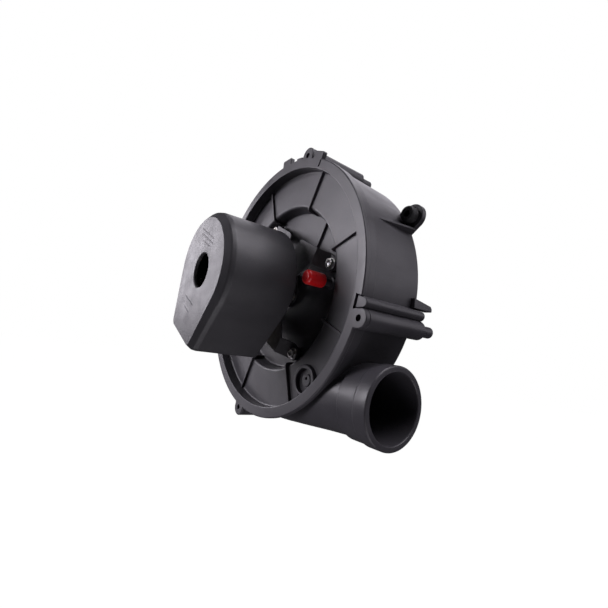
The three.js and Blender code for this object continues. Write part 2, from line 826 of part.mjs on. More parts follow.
const motor = new THREE.Group();
fan.add(motor);
add('motor_cap', motorCap(), capPlastic, motor);
add('stator_laminations', laminations(), coreSteel, motor);
add('coil_winding', coilWinding(), copperWire, motor);
add('coil_bobbin', bobbin(), nylon, motor);
add('front_bearing_bracket', frontBearingBracket(), zincSteel, motor);
add('motor_mount_bracket', mountBracket(), paintedSteel, motor);
add('front_bearing', sleeveBearing(-97, -90.5), bronze, motor);
add('rear_bearing', sleeveBearing(-57.6, -50.4), bronze, motor);
addEach('shading_band', [-1, 1], shadingBand, copperWire);
addEach('spade_terminal', [-1, 1], spadeTerminal, zincSteel);
addEach('motor_bolt', boltPoints, motorBolt, zincSteel);
addEach('motor_nut', boltPoints, motorNut, zincSteel);

const rotor = new THREE.Group();
fan.add(rotor);
add('motor_shaft', motorShaft(), zincSteel, rotor);
add('rotor_core', rotorCore(), coreSteel, rotor);
add('front_thrust_washer', thrustWasher(-89.5), nylon, rotor);
add('rear_thrust_washer', thrustWasher(-59.6), nylon, rotor);
add('cooling_fan', coolingFan(), nylon, rotor);
add('blower_wheel', blowerWheel(), blackPlastic, rotor);
add('wheel_clamp', wheelClamp(), zincSteel, rotor);

add('pressure_tap_cap', tapCap(), redVinyl);

export default fan;
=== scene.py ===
"""Looks of a furnace combustion fan: moulded scroll housing, dished cover, capped motor and blower wheel.

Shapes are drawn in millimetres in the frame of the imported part: the fan's axis is Y, the motor faces -Y,
the outlet pipe points to +X and +Z is up. Each finished mesh is scaled to metres.
"""

import json
import math

import bmesh
import bpy
from mathutils import Matrix, Vector

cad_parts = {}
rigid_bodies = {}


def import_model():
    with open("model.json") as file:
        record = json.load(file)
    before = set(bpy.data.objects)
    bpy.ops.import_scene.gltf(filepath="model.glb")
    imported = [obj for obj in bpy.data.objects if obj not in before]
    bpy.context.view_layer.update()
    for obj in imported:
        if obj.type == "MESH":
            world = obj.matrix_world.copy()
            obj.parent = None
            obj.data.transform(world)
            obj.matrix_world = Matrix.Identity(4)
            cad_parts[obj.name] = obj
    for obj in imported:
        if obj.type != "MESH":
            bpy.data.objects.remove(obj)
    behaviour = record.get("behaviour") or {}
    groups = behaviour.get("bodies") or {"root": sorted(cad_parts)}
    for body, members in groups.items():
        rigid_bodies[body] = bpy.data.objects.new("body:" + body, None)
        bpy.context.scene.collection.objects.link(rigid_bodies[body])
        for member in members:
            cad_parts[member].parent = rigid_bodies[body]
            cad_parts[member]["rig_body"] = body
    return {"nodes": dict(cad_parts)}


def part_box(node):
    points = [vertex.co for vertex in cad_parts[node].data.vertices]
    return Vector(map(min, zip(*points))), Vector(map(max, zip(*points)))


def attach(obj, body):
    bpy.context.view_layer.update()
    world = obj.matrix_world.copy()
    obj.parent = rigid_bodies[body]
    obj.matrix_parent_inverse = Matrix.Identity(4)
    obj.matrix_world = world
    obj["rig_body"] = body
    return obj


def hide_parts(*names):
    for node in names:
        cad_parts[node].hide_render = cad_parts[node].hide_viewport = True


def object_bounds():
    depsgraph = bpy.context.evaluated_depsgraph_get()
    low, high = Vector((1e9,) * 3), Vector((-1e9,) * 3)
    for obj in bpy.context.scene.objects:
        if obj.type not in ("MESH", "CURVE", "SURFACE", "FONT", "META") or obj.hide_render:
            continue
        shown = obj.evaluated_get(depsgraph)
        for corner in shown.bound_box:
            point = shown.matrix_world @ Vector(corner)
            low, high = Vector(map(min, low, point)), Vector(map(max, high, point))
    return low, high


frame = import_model()
cad_low, cad_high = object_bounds()

# ---------------------------------------------------------------- places, from the frame

MM = 0.001


def extent(node):
    """Lowest and highest corner of a CAD node, in millimetres."""
    low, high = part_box(node)
    return low / MM, high / MM


def middle(node):
    """The centre of a CAD node in X and Z, in millimetres."""
    low, high = extent(node)
    return (low.x + high.x) / 2, (low.z + high.z) / 2


def polar(radius, degrees):
    turn = math.radians(degrees)
    return radius * math.cos(turn), radius * math.sin(turn)


def nodes_named(stem):
    """The CAD nodes whose names start with a word, in order."""
    return sorted(name for name in frame["nodes"] if name.startswith(stem))


housing_high = extent("rear_housing")[1]
cover_high = extent("front_cover")[1]
cap_low, cap_high = extent("motor_cap")
wheel_low, wheel_high = extent("blower_wheel")
fan_low, fan_high = extent("cooling_fan")
shaft_low, shaft_high = extent("motor_shaft")
gasket_low, gasket_high = extent("inlet_gasket")

# ---------------------------------------------------------------- driving dimensions, in millimetres

BIG = 192  # sides of the drum and the flange
MEDIUM = 96
SMALL = 36
GAP = 0.3  # between two pieces that touch

FLANGE_FRONT = cover_high.y - 21.6  # the cover's front face
FLANGE_BACK = FLANGE_FRONT + 3.5
FLANGE_RADIUS = 105
RIM_RADIUS = 97
ANNULUS = FLANGE_FRONT + 9
WELL_TOP = 70
WELL_RADIUS = 65
WELL_FLOOR = FLANGE_FRONT + 18
COVER_WALL = 2.5
SHAFT_HOLE = 12.5

EAR_ANGLES = [76, -14, -104, 166]
EAR_CIRCLE = 106.8
EAR_RADIUS = 6.6
MOUNT_HOLE = 2.2

LUG_CIRCLE = 108.4
LUG_ANGLES = [31.5, 148.5, 211.5]
LUG_RADIUS = 9
LUG_THICK = 4.2

OUTLET_MOUTH = housing_high.x
OUTLET_Y = -28.6
OUTLET_Z = -76.6

RIB_ANGLES = [21.5 + 45 * i for i in range(8)]

RAIL_ANGLE = -8.8
RAIL_CIRCLE = 106.4
RAIL_RADIUS = 3.4

SHAFT_RADIUS = (shaft_high.x - shaft_low.x) / 2

TAIL_ANGLE = -115  # the side of the axis that the motor's coil sits on
TAIL = Vector(polar(1, TAIL_ANGLE))
MOUNT_POINTS = [(-37.5, 44.8), (37.5, 44.8), (37.5, -44.8), (-37.5, -44.8)]  # along the tail and across it
BOLT_POINTS = [(0, 20.2), (0, -20.2)]
STACK_FRONT = -86
STACK_REAR = -61

# ---------------------------------------------------------------- outlines


ALMOST_STRAIGHT = 1.56  # half the angle of a corner too flat to round, in radians
SHARPEST = 0.3  # limits how far a sharp corner moves when its outline is inset


def rounded(corners, steps=5):
    """A closed outline from (a, b, radius) corners, each one rounded with an arc."""
    points = []
    for i, (a, b, radius) in enumerate(corners):
        here = Vector((a, b))
        back = (Vector(corners[i - 1][:2]) - here).normalized()
        ahead = (Vector(corners[(i + 1) % len(corners)][:2]) - here).normalized()
        half = back.angle(ahead) / 2
        if radius <= 0 or half > ALMOST_STRAIGHT:
            points.append(here)
            continue
        hub = here + (back + ahead).normalized() * radius / math.sin(half)
        first = here + back * radius / math.tan(half) - hub
        last = here + ahead * radius / math.tan(half) - hub
        for step in range(steps + 1):
            points.append(hub + first.slerp(last, step / steps) * radius)
    return points


def rectangle(a0, a1, b0, b1, corner=0.0, steps=5):
    """A rectangle's outline with rounded corners."""
    return rounded([(a0, b0, corner), (a1, b0, corner), (a1, b1, corner), (a0, b1, corner)], steps)


def circle(radius, at=(0, 0), steps=SMALL):
    return [Vector(at) + Vector(polar(radius, 360 * i / steps)) for i in range(steps)]


def inset(outline, distance):
    """The outline moved inwards by a small distance."""
    area = sum(p.x * outline[i - 1].y - outline[i - 1].x * p.y for i, p in enumerate(outline))
    side = distance if area > 0 else -distance
    moved = []
    for i, here in enumerate(outline):
        before = here - outline[i - 1]
        after = outline[(i + 1) % len(outline)] - here
        first = Vector((before.y, -before.x)).normalized()
        second = Vector((after.y, -after.x)).normalized()
        across = first + second
        across = across / max(across.dot(first), SHARPEST) if across.length > 0.01 else first
        moved.append(here + across * side)
    return moved


def mirrored(outline, side, way):
    """An outline turned over by a sign in each of its two directions."""
    return [Vector((side * p.x, way * p.y)) for p in outline]


def ear_outline(angle, at_radius, radius, reach):
    """A round ear on a plate's edge, wider at its foot, in X and Z."""
    steps = 20
    out = Vector(polar(1, angle))
    across = Vector(polar(1, angle + 90))
    points = [out * reach - across * radius * 1.25]
    for i in range(steps + 1):
        points.append(out * at_radius + Vector(polar(radius, angle - 90 + 180 * i / steps)))
    points.append(out * reach + across * radius * 1.25)
    return points


# ---------------------------------------------------------------- solids


def across_y(a, b, c):
    """Outline in X and Z, thickness along Y."""
    return Vector((a, c, b))


def at_angle(angle):
    """Outline in radius and Y, thickness along the circumference, set at an angle."""
    out_x, out_z = polar(1, angle)
    return lambda a, b, c: Vector((a * out_x - c * out_z, b, a * out_z + c * out_x))


def along_tail(a, b, c):
    """Outline along the motor's tail and Y, thickness across the tail."""
    return Vector((a * TAIL.x - c * TAIL.y, b, a * TAIL.y + c * TAIL.x))


def tail_xz(along, across):
    """A place on the motor, along its tail and across it, as X and Z."""
    return Vector((along * TAIL.x - across * TAIL.y, along * TAIL.y + across * TAIL.x))


def on_motor(a, b, c):
    """Outline along the motor's tail and across it, thickness along Y."""
    return along_tail(a, c, b)


def solid(points, faces):
    """A closed mesh with merged points and its faces pointing out."""
    mesh = bpy.data.meshes.new("solid")
    mesh.from_pydata([tuple(p) for p in points], [], faces)
    work = bmesh.new()
    work.from_mesh(mesh)
    bmesh.ops.remove_doubles(work, verts=work.verts, dist=1e-4)
    bmesh.ops.dissolve_degenerate(work, edges=work.edges, dist=1e-5)
    bmesh.ops.delete(work, geom=[edge for edge in work.edges if not edge.link_faces], context="EDGES")
    bmesh.ops.recalc_face_normals(work, faces=work.faces)
    work.to_mesh(mesh)
    work.free()
    made = bpy.data.objects.new("solid", mesh)
    bpy.context.scene.collection.objects.link(made)
    return made


def ring_faces(count, rings, closed):
    """Quads between neighbouring rings of points, and round to the first ring if closed."""
    faces = []
    for ring in range(rings if closed else rings - 1):
        low, high = ring * count, (ring + 1) % rings * count
        for i in range(count):
            j = (i + 1) % count
            faces.append((low + i, low + j, high + j, high + i))
    return faces


def lathe(profile, steps=MEDIUM, at=(0, 0)):
    """A closed outline in radius and Y, turned about an axis along Y through (X, Z)."""
    points = []
    for i in range(steps):
        out_x, out_z = polar(1, 360 * i / steps)
        points += [(at[0] + p.x * out_x, p.y, at[1] + p.x * out_z) for p in profile]
    return solid(points, ring_faces(len(profile), steps, True))


def turned(corners, steps=MEDIUM, at=(0, 0), arc=4):
    return lathe(rounded(corners, arc), steps, at)


def rod(radius, y0, y1, at=(0, 0), steps=SMALL, edge=0.0):
    return turned([(0, y0, 0), (radius, y0, edge), (radius, y1, edge), (0, y1, 0)], steps, at)


def tube(outer, inner, y0, y1, at=(0, 0), steps=SMALL, edge=0.0):
    return turned([(inner, y0, edge), (outer, y0, edge), (outer, y1, edge), (inner, y1, edge)], steps, at)


def loft(rings):
    """Rings of points with equal counts, skinned and closed at both ends."""
    count = len(rings[0])
    points = [p for ring in rings for p in ring]
    faces = ring_faces(count, len(rings), False)
    faces.append(tuple(range(count)))
    faces.append(tuple((len(rings) - 1) * count + i for i in range(count)))
    return solid(points, faces)


def slab(outline, low, high, place=across_y, edge=(0.5, 0.5)):
    """An outline given a thickness, with rounded edges on its low and high faces."""
    steps = 3
    levels = []
    for side, limit, radius in ((1, low, edge[0]), (-1, high, edge[1])):
        bends = range(steps + 1) if side > 0 else range(steps, -1, -1)
        for i in bends:
            turn = math.pi / 2 * i / steps
            if radius > 0 or i == steps:
                levels.append((radius * (1 - math.sin(turn)), limit + side * radius * (1 - math.cos(turn))))
    return loft([[place(p.x, p.y, level) for p in inset(outline, away)] for away, level in levels])


def bar(angle, r0, r1, width, y0, y1, edge=0.5, corner=0.5):
    """A bar that lies along the radius at an angle, with rounded corners and edges."""
    outline = rectangle(r0, r1, -width / 2, width / 2, corner, 4)
    return slab(outline, y0, y1, lambda a, b, c: at_angle(angle)(a, c, b), (edge, 0))


def combine(body, others, operation):
    """Joins or cuts a closed solid with others, and takes the result as its mesh."""
    group = bpy.data.collections.new("tools")
    for other in others:
        group.objects.link(other)
    boolean = body.modifiers.new("boolean", "BOOLEAN")
    boolean.operation = operation
    boolean.operand_type = "COLLECTION"
    boolean.collection = group
    boolean.solver = "MANIFOLD"
    bpy.context.view_layer.update()
    made = bpy.data.meshes.new_from_object(body.evaluated_get(bpy.context.evaluated_depsgraph_get()))
    body.modifiers.clear()
    body.data = made
    for other in others:
        bpy.data.objects.remove(other)
    bpy.data.collections.remove(group)
    return body


def joined(solids):
    return combine(solids[0], solids[1:], "UNION")


def cut(body, tools):
    return combine(body, tools, "DIFFERENCE")


def gathered(solids):
    """Separate solids kept in one mesh, for a group of pieces that don't touch."""
    work = bmesh.new()
    for part in solids:
        work.from_mesh(part.data)
        bpy.data.objects.remove(part)
    mesh = bpy.data.meshes.new("group")
    work.to_mesh(mesh)
    work.free()
    made = bpy.data.objects.new("group", mesh)
    bpy.context.scene.collection.objects.link(made)
    return made


def piece(made, name, node, material, smooth=32):
    """Scales a solid to metres, names it and makes it stand for a CAD node on that node's body."""
    made.data.transform(Matrix.Scale(MM, 4))
    made.name = name
    made.data.name = name
    made.data.materials.clear()
    made.data.materials.append(material)
    made.data.shade_smooth()
    made.data.set_sharp_from_angle(angle=math.radians(smooth))
    normals = made.modifiers.new("weighted_normals", "WEIGHTED_NORMAL")
    normals.keep_sharp = True
    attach(made, frame["nodes"][node]["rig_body"])
    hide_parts(node)
    return made


# ---------------------------------------------------------------- materials


class Finish:
    """A material's node tree, with short calls to add nodes and join them."""

    def __init__(self, name, colour, roughness, metallic=0.0):
        self.material = bpy.data.materials.new(name)
        self.material.use_nodes = True
        self.tree = self.material.node_tree
        self.shader = self.tree.nodes["Principled BSDF"]
        self.shader.inputs["Base Color"].default_value = (*colour, 1)
        self.shader.inputs["Roughness"].default_value = roughness
        self.shader.inputs["Metallic"].default_value = metallic
        self.where = self.add("ShaderNodeTexCoord").outputs["Object"]

    def add(self, kind, inputs=(), **settings):
        node = self.tree.nodes.new(kind)
        for key, value in settings.items():
            setattr(node, key, value)
        for key, value in dict(inputs).items():
            if isinstance(value, bpy.types.NodeSocket):
                self.tree.links.new(value, node.inputs[key])
            else:
                node.inputs[key].default_value = value
        return node

    def set(self, socket, value):
        if isinstance(value, bpy.types.NodeSocket):
            self.tree.links.new(value, self.shader.inputs[socket])
        else:
            self.shader.inputs[socket].default_value = value

    def stretched(self, x, y, z):
        """Object coordinates scaled along each axis."""
        node = self.add("ShaderNodeMapping", {"Vector": self.where, "Scale": (x, y, z)})
        return node.outputs["Vector"]

    def noise(self, size, detail=3.0, rough=0.5, where=None):
        """Noise whose blotches are about this many millimetres across."""
        node = self.add("ShaderNodeTexNoise", {
            "Vector": where or self.where, "Scale": 1 / (size * MM), "Detail": detail, "Roughness": rough,
        })
        return node.outputs["Fac"]

    def cells(self, size, feature="F1"):
        inputs = {"Vector": self.where, "Scale": 1 / (size * MM)}
        return self.add("ShaderNodeTexVoronoi", inputs, feature=feature).outputs["Distance"]

    def bands(self, pitch, where, direction="X"):
        """Ridges with this pitch in millimetres along one axis."""
        scale = math.pi / 10 / (pitch * MM)
        node = self.add("ShaderNodeTexWave", {"Vector": where, "Scale": scale}, bands_direction=direction)
        return node.outputs["Fac"]

    def span(self, value, low, high, to_low=0.0, to_high=1.0):
        """A value from low to high mapped to another span, and held at its ends."""
        node = self.add("ShaderNodeMapRange", {
            "Value": value, "From Min": low, "From Max": high, "To Min": to_low, "To Max": to_high,
        })
        return node.outputs["Result"]

    def roughen(self, pattern, low, high):
        """Roughness between two values that follows a noise pattern."""
        self.set("Roughness", self.span(pattern, 0.3, 0.7, low, high))

    def mixed(self, factor, first, second):
        node = self.add("ShaderNodeMix", data_type="RGBA")
        for index, value in ((0, factor), (6, first), (7, second)):
            if isinstance(value, bpy.types.NodeSocket):
                self.tree.links.new(value, node.inputs[index])
            else:
                node.inputs[index].default_value = value if index == 0 else (*value, 1)
        return node.outputs[2]

    def maths(self, operation, first, second=0.0):
        return self.add("ShaderNodeMath", {0: first, 1: second}, operation=operation).outputs[0]

    def edges(self, radius):
        """1 on convex and concave edges within a radius in millimetres, and 0 on flat stretches."""
        bevel = self.add("ShaderNodeBevel", {"Radius": radius * MM}, samples=4)
        true_normal = self.add("ShaderNodeNewGeometry").outputs["Normal"]
        dot = self.add("ShaderNodeVectorMath", {0: bevel.outputs["Normal"], 1: true_normal},
                       operation="DOT_PRODUCT").outputs["Value"]
        return self.span(dot, 0.99, 0.86)

    def bump(self, height, depth, strength=1.0, under=None):
        """Bumps of a depth in millimetres."""
        inputs = {"Height": height, "Distance": depth * MM, "Strength": strength}
        if under is not None:
            inputs["Normal"] = under
        return self.add("ShaderNodeBump", inputs).outputs["Normal"]


def scaled(colour, factor, lift=0.0):
    """A colour made darker or lighter."""
    return [channel * factor + lift for channel in colour]


def moulded_plastic(name, dark, light, gloss, grain):
    """Satin moulded plastic: cloudy colour, fine spark-eroded grain, scuffs, and paler worn edges."""
    finish = Finish(name, dark, gloss)
    clouds = finish.noise(38, 4)
    specks = finish.noise(1.1, 2)
    body = finish.mixed(finish.span(clouds, 0.35, 0.65), dark, light)
    dusty = scaled(light, 1.9, 0.02)
    dust = finish.maths("MULTIPLY", finish.span(specks, 0.6, 0.78, 0, 0.35), finish.span(clouds, 0.4, 0.7))
    body = finish.mixed(dust, body, dusty)
    worn = finish.maths("MULTIPLY", finish.edges(0.9), finish.span(finish.noise(6, 3), 0.38, 0.62, 0.15, 0.6))
    body = finish.mixed(worn, body, dusty)
    finish.set("Base Color", body)
    scuffs = finish.noise(14, 5, 0.65, finish.stretched(1, 0.35, 1))
    finish.roughen(scuffs, gloss - 0.06, gloss + 0.1)
    flow = finish.bump(finish.noise(22, 2), 0.12, 0.35)
    finish.set("Normal", finish.bump(finish.noise(grain, 3, 0.6), 0.035, 0.55, flow))
    return finish.material


def rubber(name, colour):
    """Matt moulded rubber with a dusty bloom."""
    finish = Finish(name, colour, 0.75)
    bloom = finish.span(finish.noise(3.5, 5, 0.6), 0.45, 0.7)
    finish.set("Base Color", finish.mixed(bloom, colour, scaled(colour, 2.2, 0.012)))
    finish.roughen(finish.noise(2, 3), 0.62, 0.88)
    finish.set("Normal", finish.bump(finish.noise(0.5, 3, 0.6), 0.04, 0.6))
    return finish.material


def vinyl(name, colour, deep):
    """Dipped vinyl: glossy, slightly translucent, with gentle runs."""
    finish = Finish(name, colour, 0.3)
    runs = finish.noise(5, 3, 0.5, finish.stretched(1, 0.4, 1))
    finish.set("Base Color", finish.mixed(finish.span(runs, 0.35, 0.7), colour, deep))
    finish.roughen(finish.noise(1.6, 3), 0.26, 0.42)
    finish.set("Subsurface Weight", 0.12)
    finish.set("Subsurface Radius", (0.004, 0.0006, 0.0006))
    finish.set("Coat Weight", 0.35)
    finish.set("Coat Roughness", 0.15)
    finish.set("Normal", finish.bump(runs, 0.08, 0.5))
    return finish.material


def plated_steel(name, colour, tint, roughness=0.32):
    """Zinc-plated steel: clouded plating, fine drawing lines and dull patches."""
    finish = Finish(name, colour, roughness, 1.0)
    spangle = finish.span(finish.cells(2.6), 0.0, 0.9)
    stain = finish.span(finish.noise(4, 4, 0.6), 0.42, 0.68)
    colours = finish.mixed(spangle, colour, scaled(colour, 0.8))
    finish.set("Base Color", finish.mixed(stain, colours, tint))
    lines = finish.noise(1.2, 4, 0.6, finish.stretched(1, 9, 1))
    finish.roughen(lines, roughness - 0.1, roughness + 0.16)
    finish.set("Normal", finish.bump(lines, 0.01, 0.5))
    return finish.material


def painted_steel(name, colour, dust):
    """Satin black paint on pressed steel, with dust and a slight orange peel."""
    finish = Finish(name, colour, 0.4)
    patches = finish.span(finish.noise(5, 4, 0.6), 0.4, 0.7, 0, 0.7)
    worn = finish.maths("MAXIMUM", patches, finish.maths("MULTIPLY", finish.edges(0.6), 0.5))
    finish.set("Base Color", finish.mixed(worn, colour, dust))
    finish.roughen(finish.noise(3, 3), 0.34, 0.55)
    finish.set("Normal", finish.bump(finish.noise(0.7, 2), 0.02, 0.6))
    return finish.material


def laminated_steel(name, colour, rust):
    """A stack of thin punched sheets: a line for each sheet, varnish, and a little rust between them."""
    finish = Finish(name, colour, 0.5, 0.9)
    sheets = finish.bands(0.65, finish.where, "Y")
    stain = finish.span(finish.noise(3, 5, 0.65), 0.5, 0.72)
    edge_dark = finish.span(sheets, 0.0, 0.35)
    colours = finish.mixed(edge_dark, scaled(colour, 0.35), colour)
    finish.set("Base Color", finish.mixed(finish.maths("MULTIPLY", stain, 0.6), colours, rust))
    finish.roughen(finish.noise(1.5, 4), 0.38, 0.62)
    finish.set("Normal", finish.bump(sheets, 0.08, 0.8))
    return finish.material


def enamelled_copper(name, colour, dark):
    """Varnished winding wire."""
    finish = Finish(name, colour, 0.3, 0.85)
    varnish = finish.span(finish.noise(3, 4), 0.35, 0.7)
    finish.set("Base Color", finish.mixed(varnish, colour, dark))
    finish.roughen(finish.noise(1, 3), 0.24, 0.45)
    finish.set("Coat Weight", 0.4)
    finish.set("Coat Roughness", 0.2)
    finish.set("Normal", finish.bump(finish.noise(0.6, 3), 0.03, 0.5))
    return finish.material


def sintered_bronze(name, colour, oil):
    """Porous bearing metal with dark pores and oil stain."""
    finish = Finish(name, colour, 0.4, 1.0)
    pores = finish.span(finish.cells(0.35), 0.05, 0.25)
    stain = finish.span(finish.noise(2.5, 4), 0.4, 0.7)
    finish.set("Base Color", finish.mixed(stain, finish.mixed(pores, oil, colour), oil))
    finish.set("Roughness", finish.span(pores, 0, 1, 0.65, 0.38))
    finish.set("Normal", finish.bump(pores, 0.03, 0.7))
    return finish.material


def nylon(name, colour, warm):
    """Natural nylon: slightly waxy, with faint flow clouds."""
    finish = Finish(name, colour, 0.42)
    finish.set("Base Color", finish.mixed(finish.span(finish.noise(7, 4), 0.35, 0.7), colour, warm))
    finish.roughen(finish.noise(2, 3), 0.36, 0.55)
    finish.set("Subsurface Weight", 0.1)
    finish.set("Subsurface Radius", (0.002, 0.0015, 0.001))
    finish.set("Normal", finish.bump(finish.noise(0.8, 3), 0.02, 0.5))
    return finish.material


def foam(name, colour):
    """Closed-cell foam with open cut cells, their hollows painted darker as shade."""
    finish = Finish(name, colour, 0.92)
    pores = finish.span(finish.cells(0.9), 0.1, 0.55)
    # painted shade: the hollow of each cut cell is coloured darker
    finish.set("Base Color", finish.mixed(pores, scaled(colour, 0.25), colour))
    finish.set("Roughness", finish.span(pores, 0, 1, 0.98, 0.86))
    finish.set("Normal", finish.bump(pores, 0.25, 0.9))
    return finish.material


housing_plastic = moulded_plastic("housing_plastic", (0.043, 0.041, 0.047), (0.055, 0.053, 0.060), 0.38, 0.5)
cover_plastic = moulded_plastic("cover_plastic", (0.046, 0.044, 0.050), (0.058, 0.056, 0.063), 0.36, 0.5)
cap_plastic = moulded_plastic("cap_plastic", (0.043, 0.042, 0.046), (0.054, 0.053, 0.058), 0.40, 0.4)
mark_print = moulded_plastic("mark_print", (0.030, 0.029, 0.033), (0.042, 0.040, 0.046), 0.5, 0.3)
wheel_plastic = moulded_plastic("wheel_plastic", (0.030, 0.030, 0.032), (0.042, 0.042, 0.045), 0.5, 0.45)
black_rubber = rubber("black_rubber", (0.016, 0.016, 0.017))
red_vinyl = vinyl("red_vinyl", (0.85, 0.012, 0.016), (0.66, 0.008, 0.010))
zinc = plated_steel("zinc", (0.66, 0.66, 0.67), (0.52, 0.50, 0.44))
black_paint = painted_steel("black_paint", (0.042, 0.041, 0.045), (0.080, 0.078, 0.084))
stack_steel = laminated_steel("stack_steel", (0.28, 0.28, 0.29), (0.12, 0.06, 0.03))
copper = enamelled_copper("copper", (0.46, 0.16, 0.05), (0.22, 0.06, 0.02))
bronze = sintered_bronze("bronze", (0.42, 0.27, 0.12), (0.12, 0.08, 0.04))
white_nylon = nylon("white_nylon", (0.70, 0.66, 0.56), (0.60, 0.52, 0.38))
grey_foam = foam("grey_foam", (0.05, 0.05, 0.052))

# ---------------------------------------------------------------- front cover

FLANGE_TABS = [(92.3, 100, 110.2, 12), (82.2, 100, 106.5, 8), (68, 99, 110.4, 12)]  # angle, from, to, width


def cover_dish():
    """The dish: well floor, well wall with its rounded top, ring floor, rim and flange."""
    under = ANNULUS + COVER_WALL
    return turned([
        (SHAFT_HOLE, WELL_FLOOR, 0.5), (WELL_RADIUS, WELL_FLOOR, 1.6), (WELL_TOP - 2.4, ANNULUS - 0.5, 2.6),
        (RIM_RADIUS, ANNULUS, 1.6), (RIM_RADIUS, FLANGE_FRONT, 0.6), (FLANGE_RADIUS, FLANGE_FRONT, 0.9),
        (FLANGE_RADIUS, FLANGE_BACK, 0.5), (RIM_RADIUS + 2.3, FLANGE_BACK, 0.3),
        (RIM_RADIUS + 1.8, under, 2.2), (WELL_TOP - 1.6, under, 1.2),
        (WELL_RADIUS + 1.5, WELL_FLOOR + COVER_WALL, 1.6), (SHAFT_HOLE, WELL_FLOOR + COVER_WALL, 0.4),
    ], BIG)


def cover_rib(angle):
    """A low rib across the ring floor, over its rounded edge and down the wall of the well."""
    top = ANNULUS - 2.3
    outline = rounded([
        (WELL_RADIUS - 1.2, WELL_FLOOR + 0.5, 0), (WELL_RADIUS, top, 3.2), (RIM_RADIUS + 0.3, top, 0),
        (RIM_RADIUS + 0.3, ANNULUS + 0.8, 0), (WELL_TOP, ANNULUS + 0.8, 0),
        (WELL_RADIUS + 1, WELL_FLOOR + 0.5, 0),
    ])
    return slab(outline, -0.75, 0.75, at_angle(angle), (0.35, 0.35))


def blank_port():
    """A raised ring round a recess that holds a drilled island."""
    at = Vector((50.4, -70.4))
    front = ANNULUS - 3.2
    island_at = at + Vector((2.6, 0.6))
    foot = ANNULUS + 1
    ring = turned([(8.6, front, 0.5), (11.4, front, 0.9), (11.9, foot, 0), (8.4, foot, 0)], 64, at)
    island = rod(4.4, front + 0.6, foot, island_at, edge=0.4)
    pin_hole = rod(1.2, front - 1, ANNULUS + 0.2, island_at + Vector((0, 1.4)))
    return [ring, cut(island, [pin_hole])]


def pressure_tap():
    """A boss with a barbed nipple."""
    tip = WELL_FLOOR - 25
    return turned([
        (1.3, WELL_FLOOR + 1, 0), (4.6, WELL_FLOOR + 1, 0), (4.6, WELL_FLOOR - 6, 0.6),
        (2.5, WELL_FLOOR - 6.6, 0.4), (2.5, WELL_FLOOR - 21, 0.2), (2.9, WELL_FLOOR - 21.6, 0.2),
        (2, tip, 0.3), (1.3, tip, 0.2),
    ], SMALL, middle("pressure_tap_cap"))


def floor_rib():
    """A low rib on the well's floor that lies along the motor's tail."""
    across, half = 15.2, 0.75
    outline = rounded([(-63.8, across - half, 0), (-40, across - half, 0.4), (-40, across + half, 0.4),
                       (-63.8, across + half, 0)])
    return slab(outline, WELL_FLOOR - 2.2, WELL_FLOOR + 1, on_motor, (0.35, 0))


def build_front_cover():
    """The cover: one moulding with its ears, clip tabs, ribs, screw posts, blank port and pressure tap."""
    ears = [slab(ear_outline(angle, EAR_CIRCLE, EAR_RADIUS, 99), FLANGE_FRONT, FLANGE_BACK, edge=(0.8, 0.4))
            for angle in EAR_ANGLES]
    tabs = [bar(*tab, FLANGE_FRONT, FLANGE_BACK, 0.7, 1.2) for tab in FLANGE_TABS]
    posts = [rod(5, WELL_FLOOR - 0.4, WELL_FLOOR + 3.6, tail_xz(*point), edge=0.3)
             for point in MOUNT_POINTS]
    ribs = [cover_rib(angle) for angle in RIB_ANGLES]
    body = joined([cover_dish(), *ribs, *ears, *tabs, *posts, floor_rib(), *blank_port(), pressure_tap()])
    deep, shallow = FLANGE_FRONT - 9, FLANGE_BACK + 1
    rail = slab(ear_outline(RAIL_ANGLE, RAIL_CIRCLE, RAIL_RADIUS + 0.5, 99.8), deep, shallow, edge=(0, 0))
    holes = [rod(MOUNT_HOLE, deep, shallow + 3, polar(EAR_CIRCLE, angle)) for angle in EAR_ANGLES]
    screw_holes = [rod(2, WELL_FLOOR - 5, WELL_FLOOR + 3, tail_xz(*point)) for point in MOUNT_POINTS]
    slot = bar(64.8, 98.6, 104.2, 1.8, deep, shallow, 0, 0.6)
    bore = rod(1.3, WELL_FLOOR - 9, WELL_FLOOR + 6, middle("pressure_tap_cap"))
    cover = cut(body, [*holes, *screw_holes, rail, slot, bore])
    piece(cover, "cover_shell", "front_cover", cover_plastic)


# ---------------------------------------------------------------- rear housing


DUCT_OUTSIDE = [  # x, half depth, half height, squareness, centre in Y
    (-8, 25.6, 24.2, 7, -27), (20, 25.8, 26, 6, -27.2), (42, 25.2, 25.6, 4, -27.8),
    (66, 24.3, 24.6, 2.5, -28.4), (88, 23.6, 23.6, 2, OUTLET_Y),
]
DUCT_INSIDE = [
    (12, 23, 23, 6, -26.6), (42, 22.6, 22.8, 4, -27.6), (66, 21.9, 22.2, 2.5, -28.4),
    (88, 21.8, 21.8, 2, OUTLET_Y),
]


def duct_ring(x, depth, height, power, centre_y):
    """A cross-section of the outlet. A higher power makes it squarer."""
    ring = []
    for i in range(MEDIUM):
        c, s = polar(1, 360 * i / MEDIUM)
        bulge = (abs(c) ** power + abs(s) ** power) ** (-1 / power)
        ring.append(Vector((x, centre_y + depth * bulge * c, OUTLET_Z + height * bulge * s)))
    return ring


def blended_sections(sections, steps=6):
    """More sections between the given ones, on a smooth curve through them."""
    made = []
    for i in range(len(sections) - 1):
        p0, p1 = sections[max(i - 1, 0)], sections[i]
        p2, p3 = sections[i + 1], sections[min(i + 2, len(sections) - 1)]
        for step in range(steps):
            t = step / steps
            made.append([0.5 * (2 * b + (c - a) * t + (2 * a - 5 * b + 4 * c - d) * t ** 2
                                + (3 * b - a - 3 * c + d) * t ** 3) for a, b, c, d in zip(p0, p1, p2, p3)])
    made.append(list(sections[-1]))
    return made


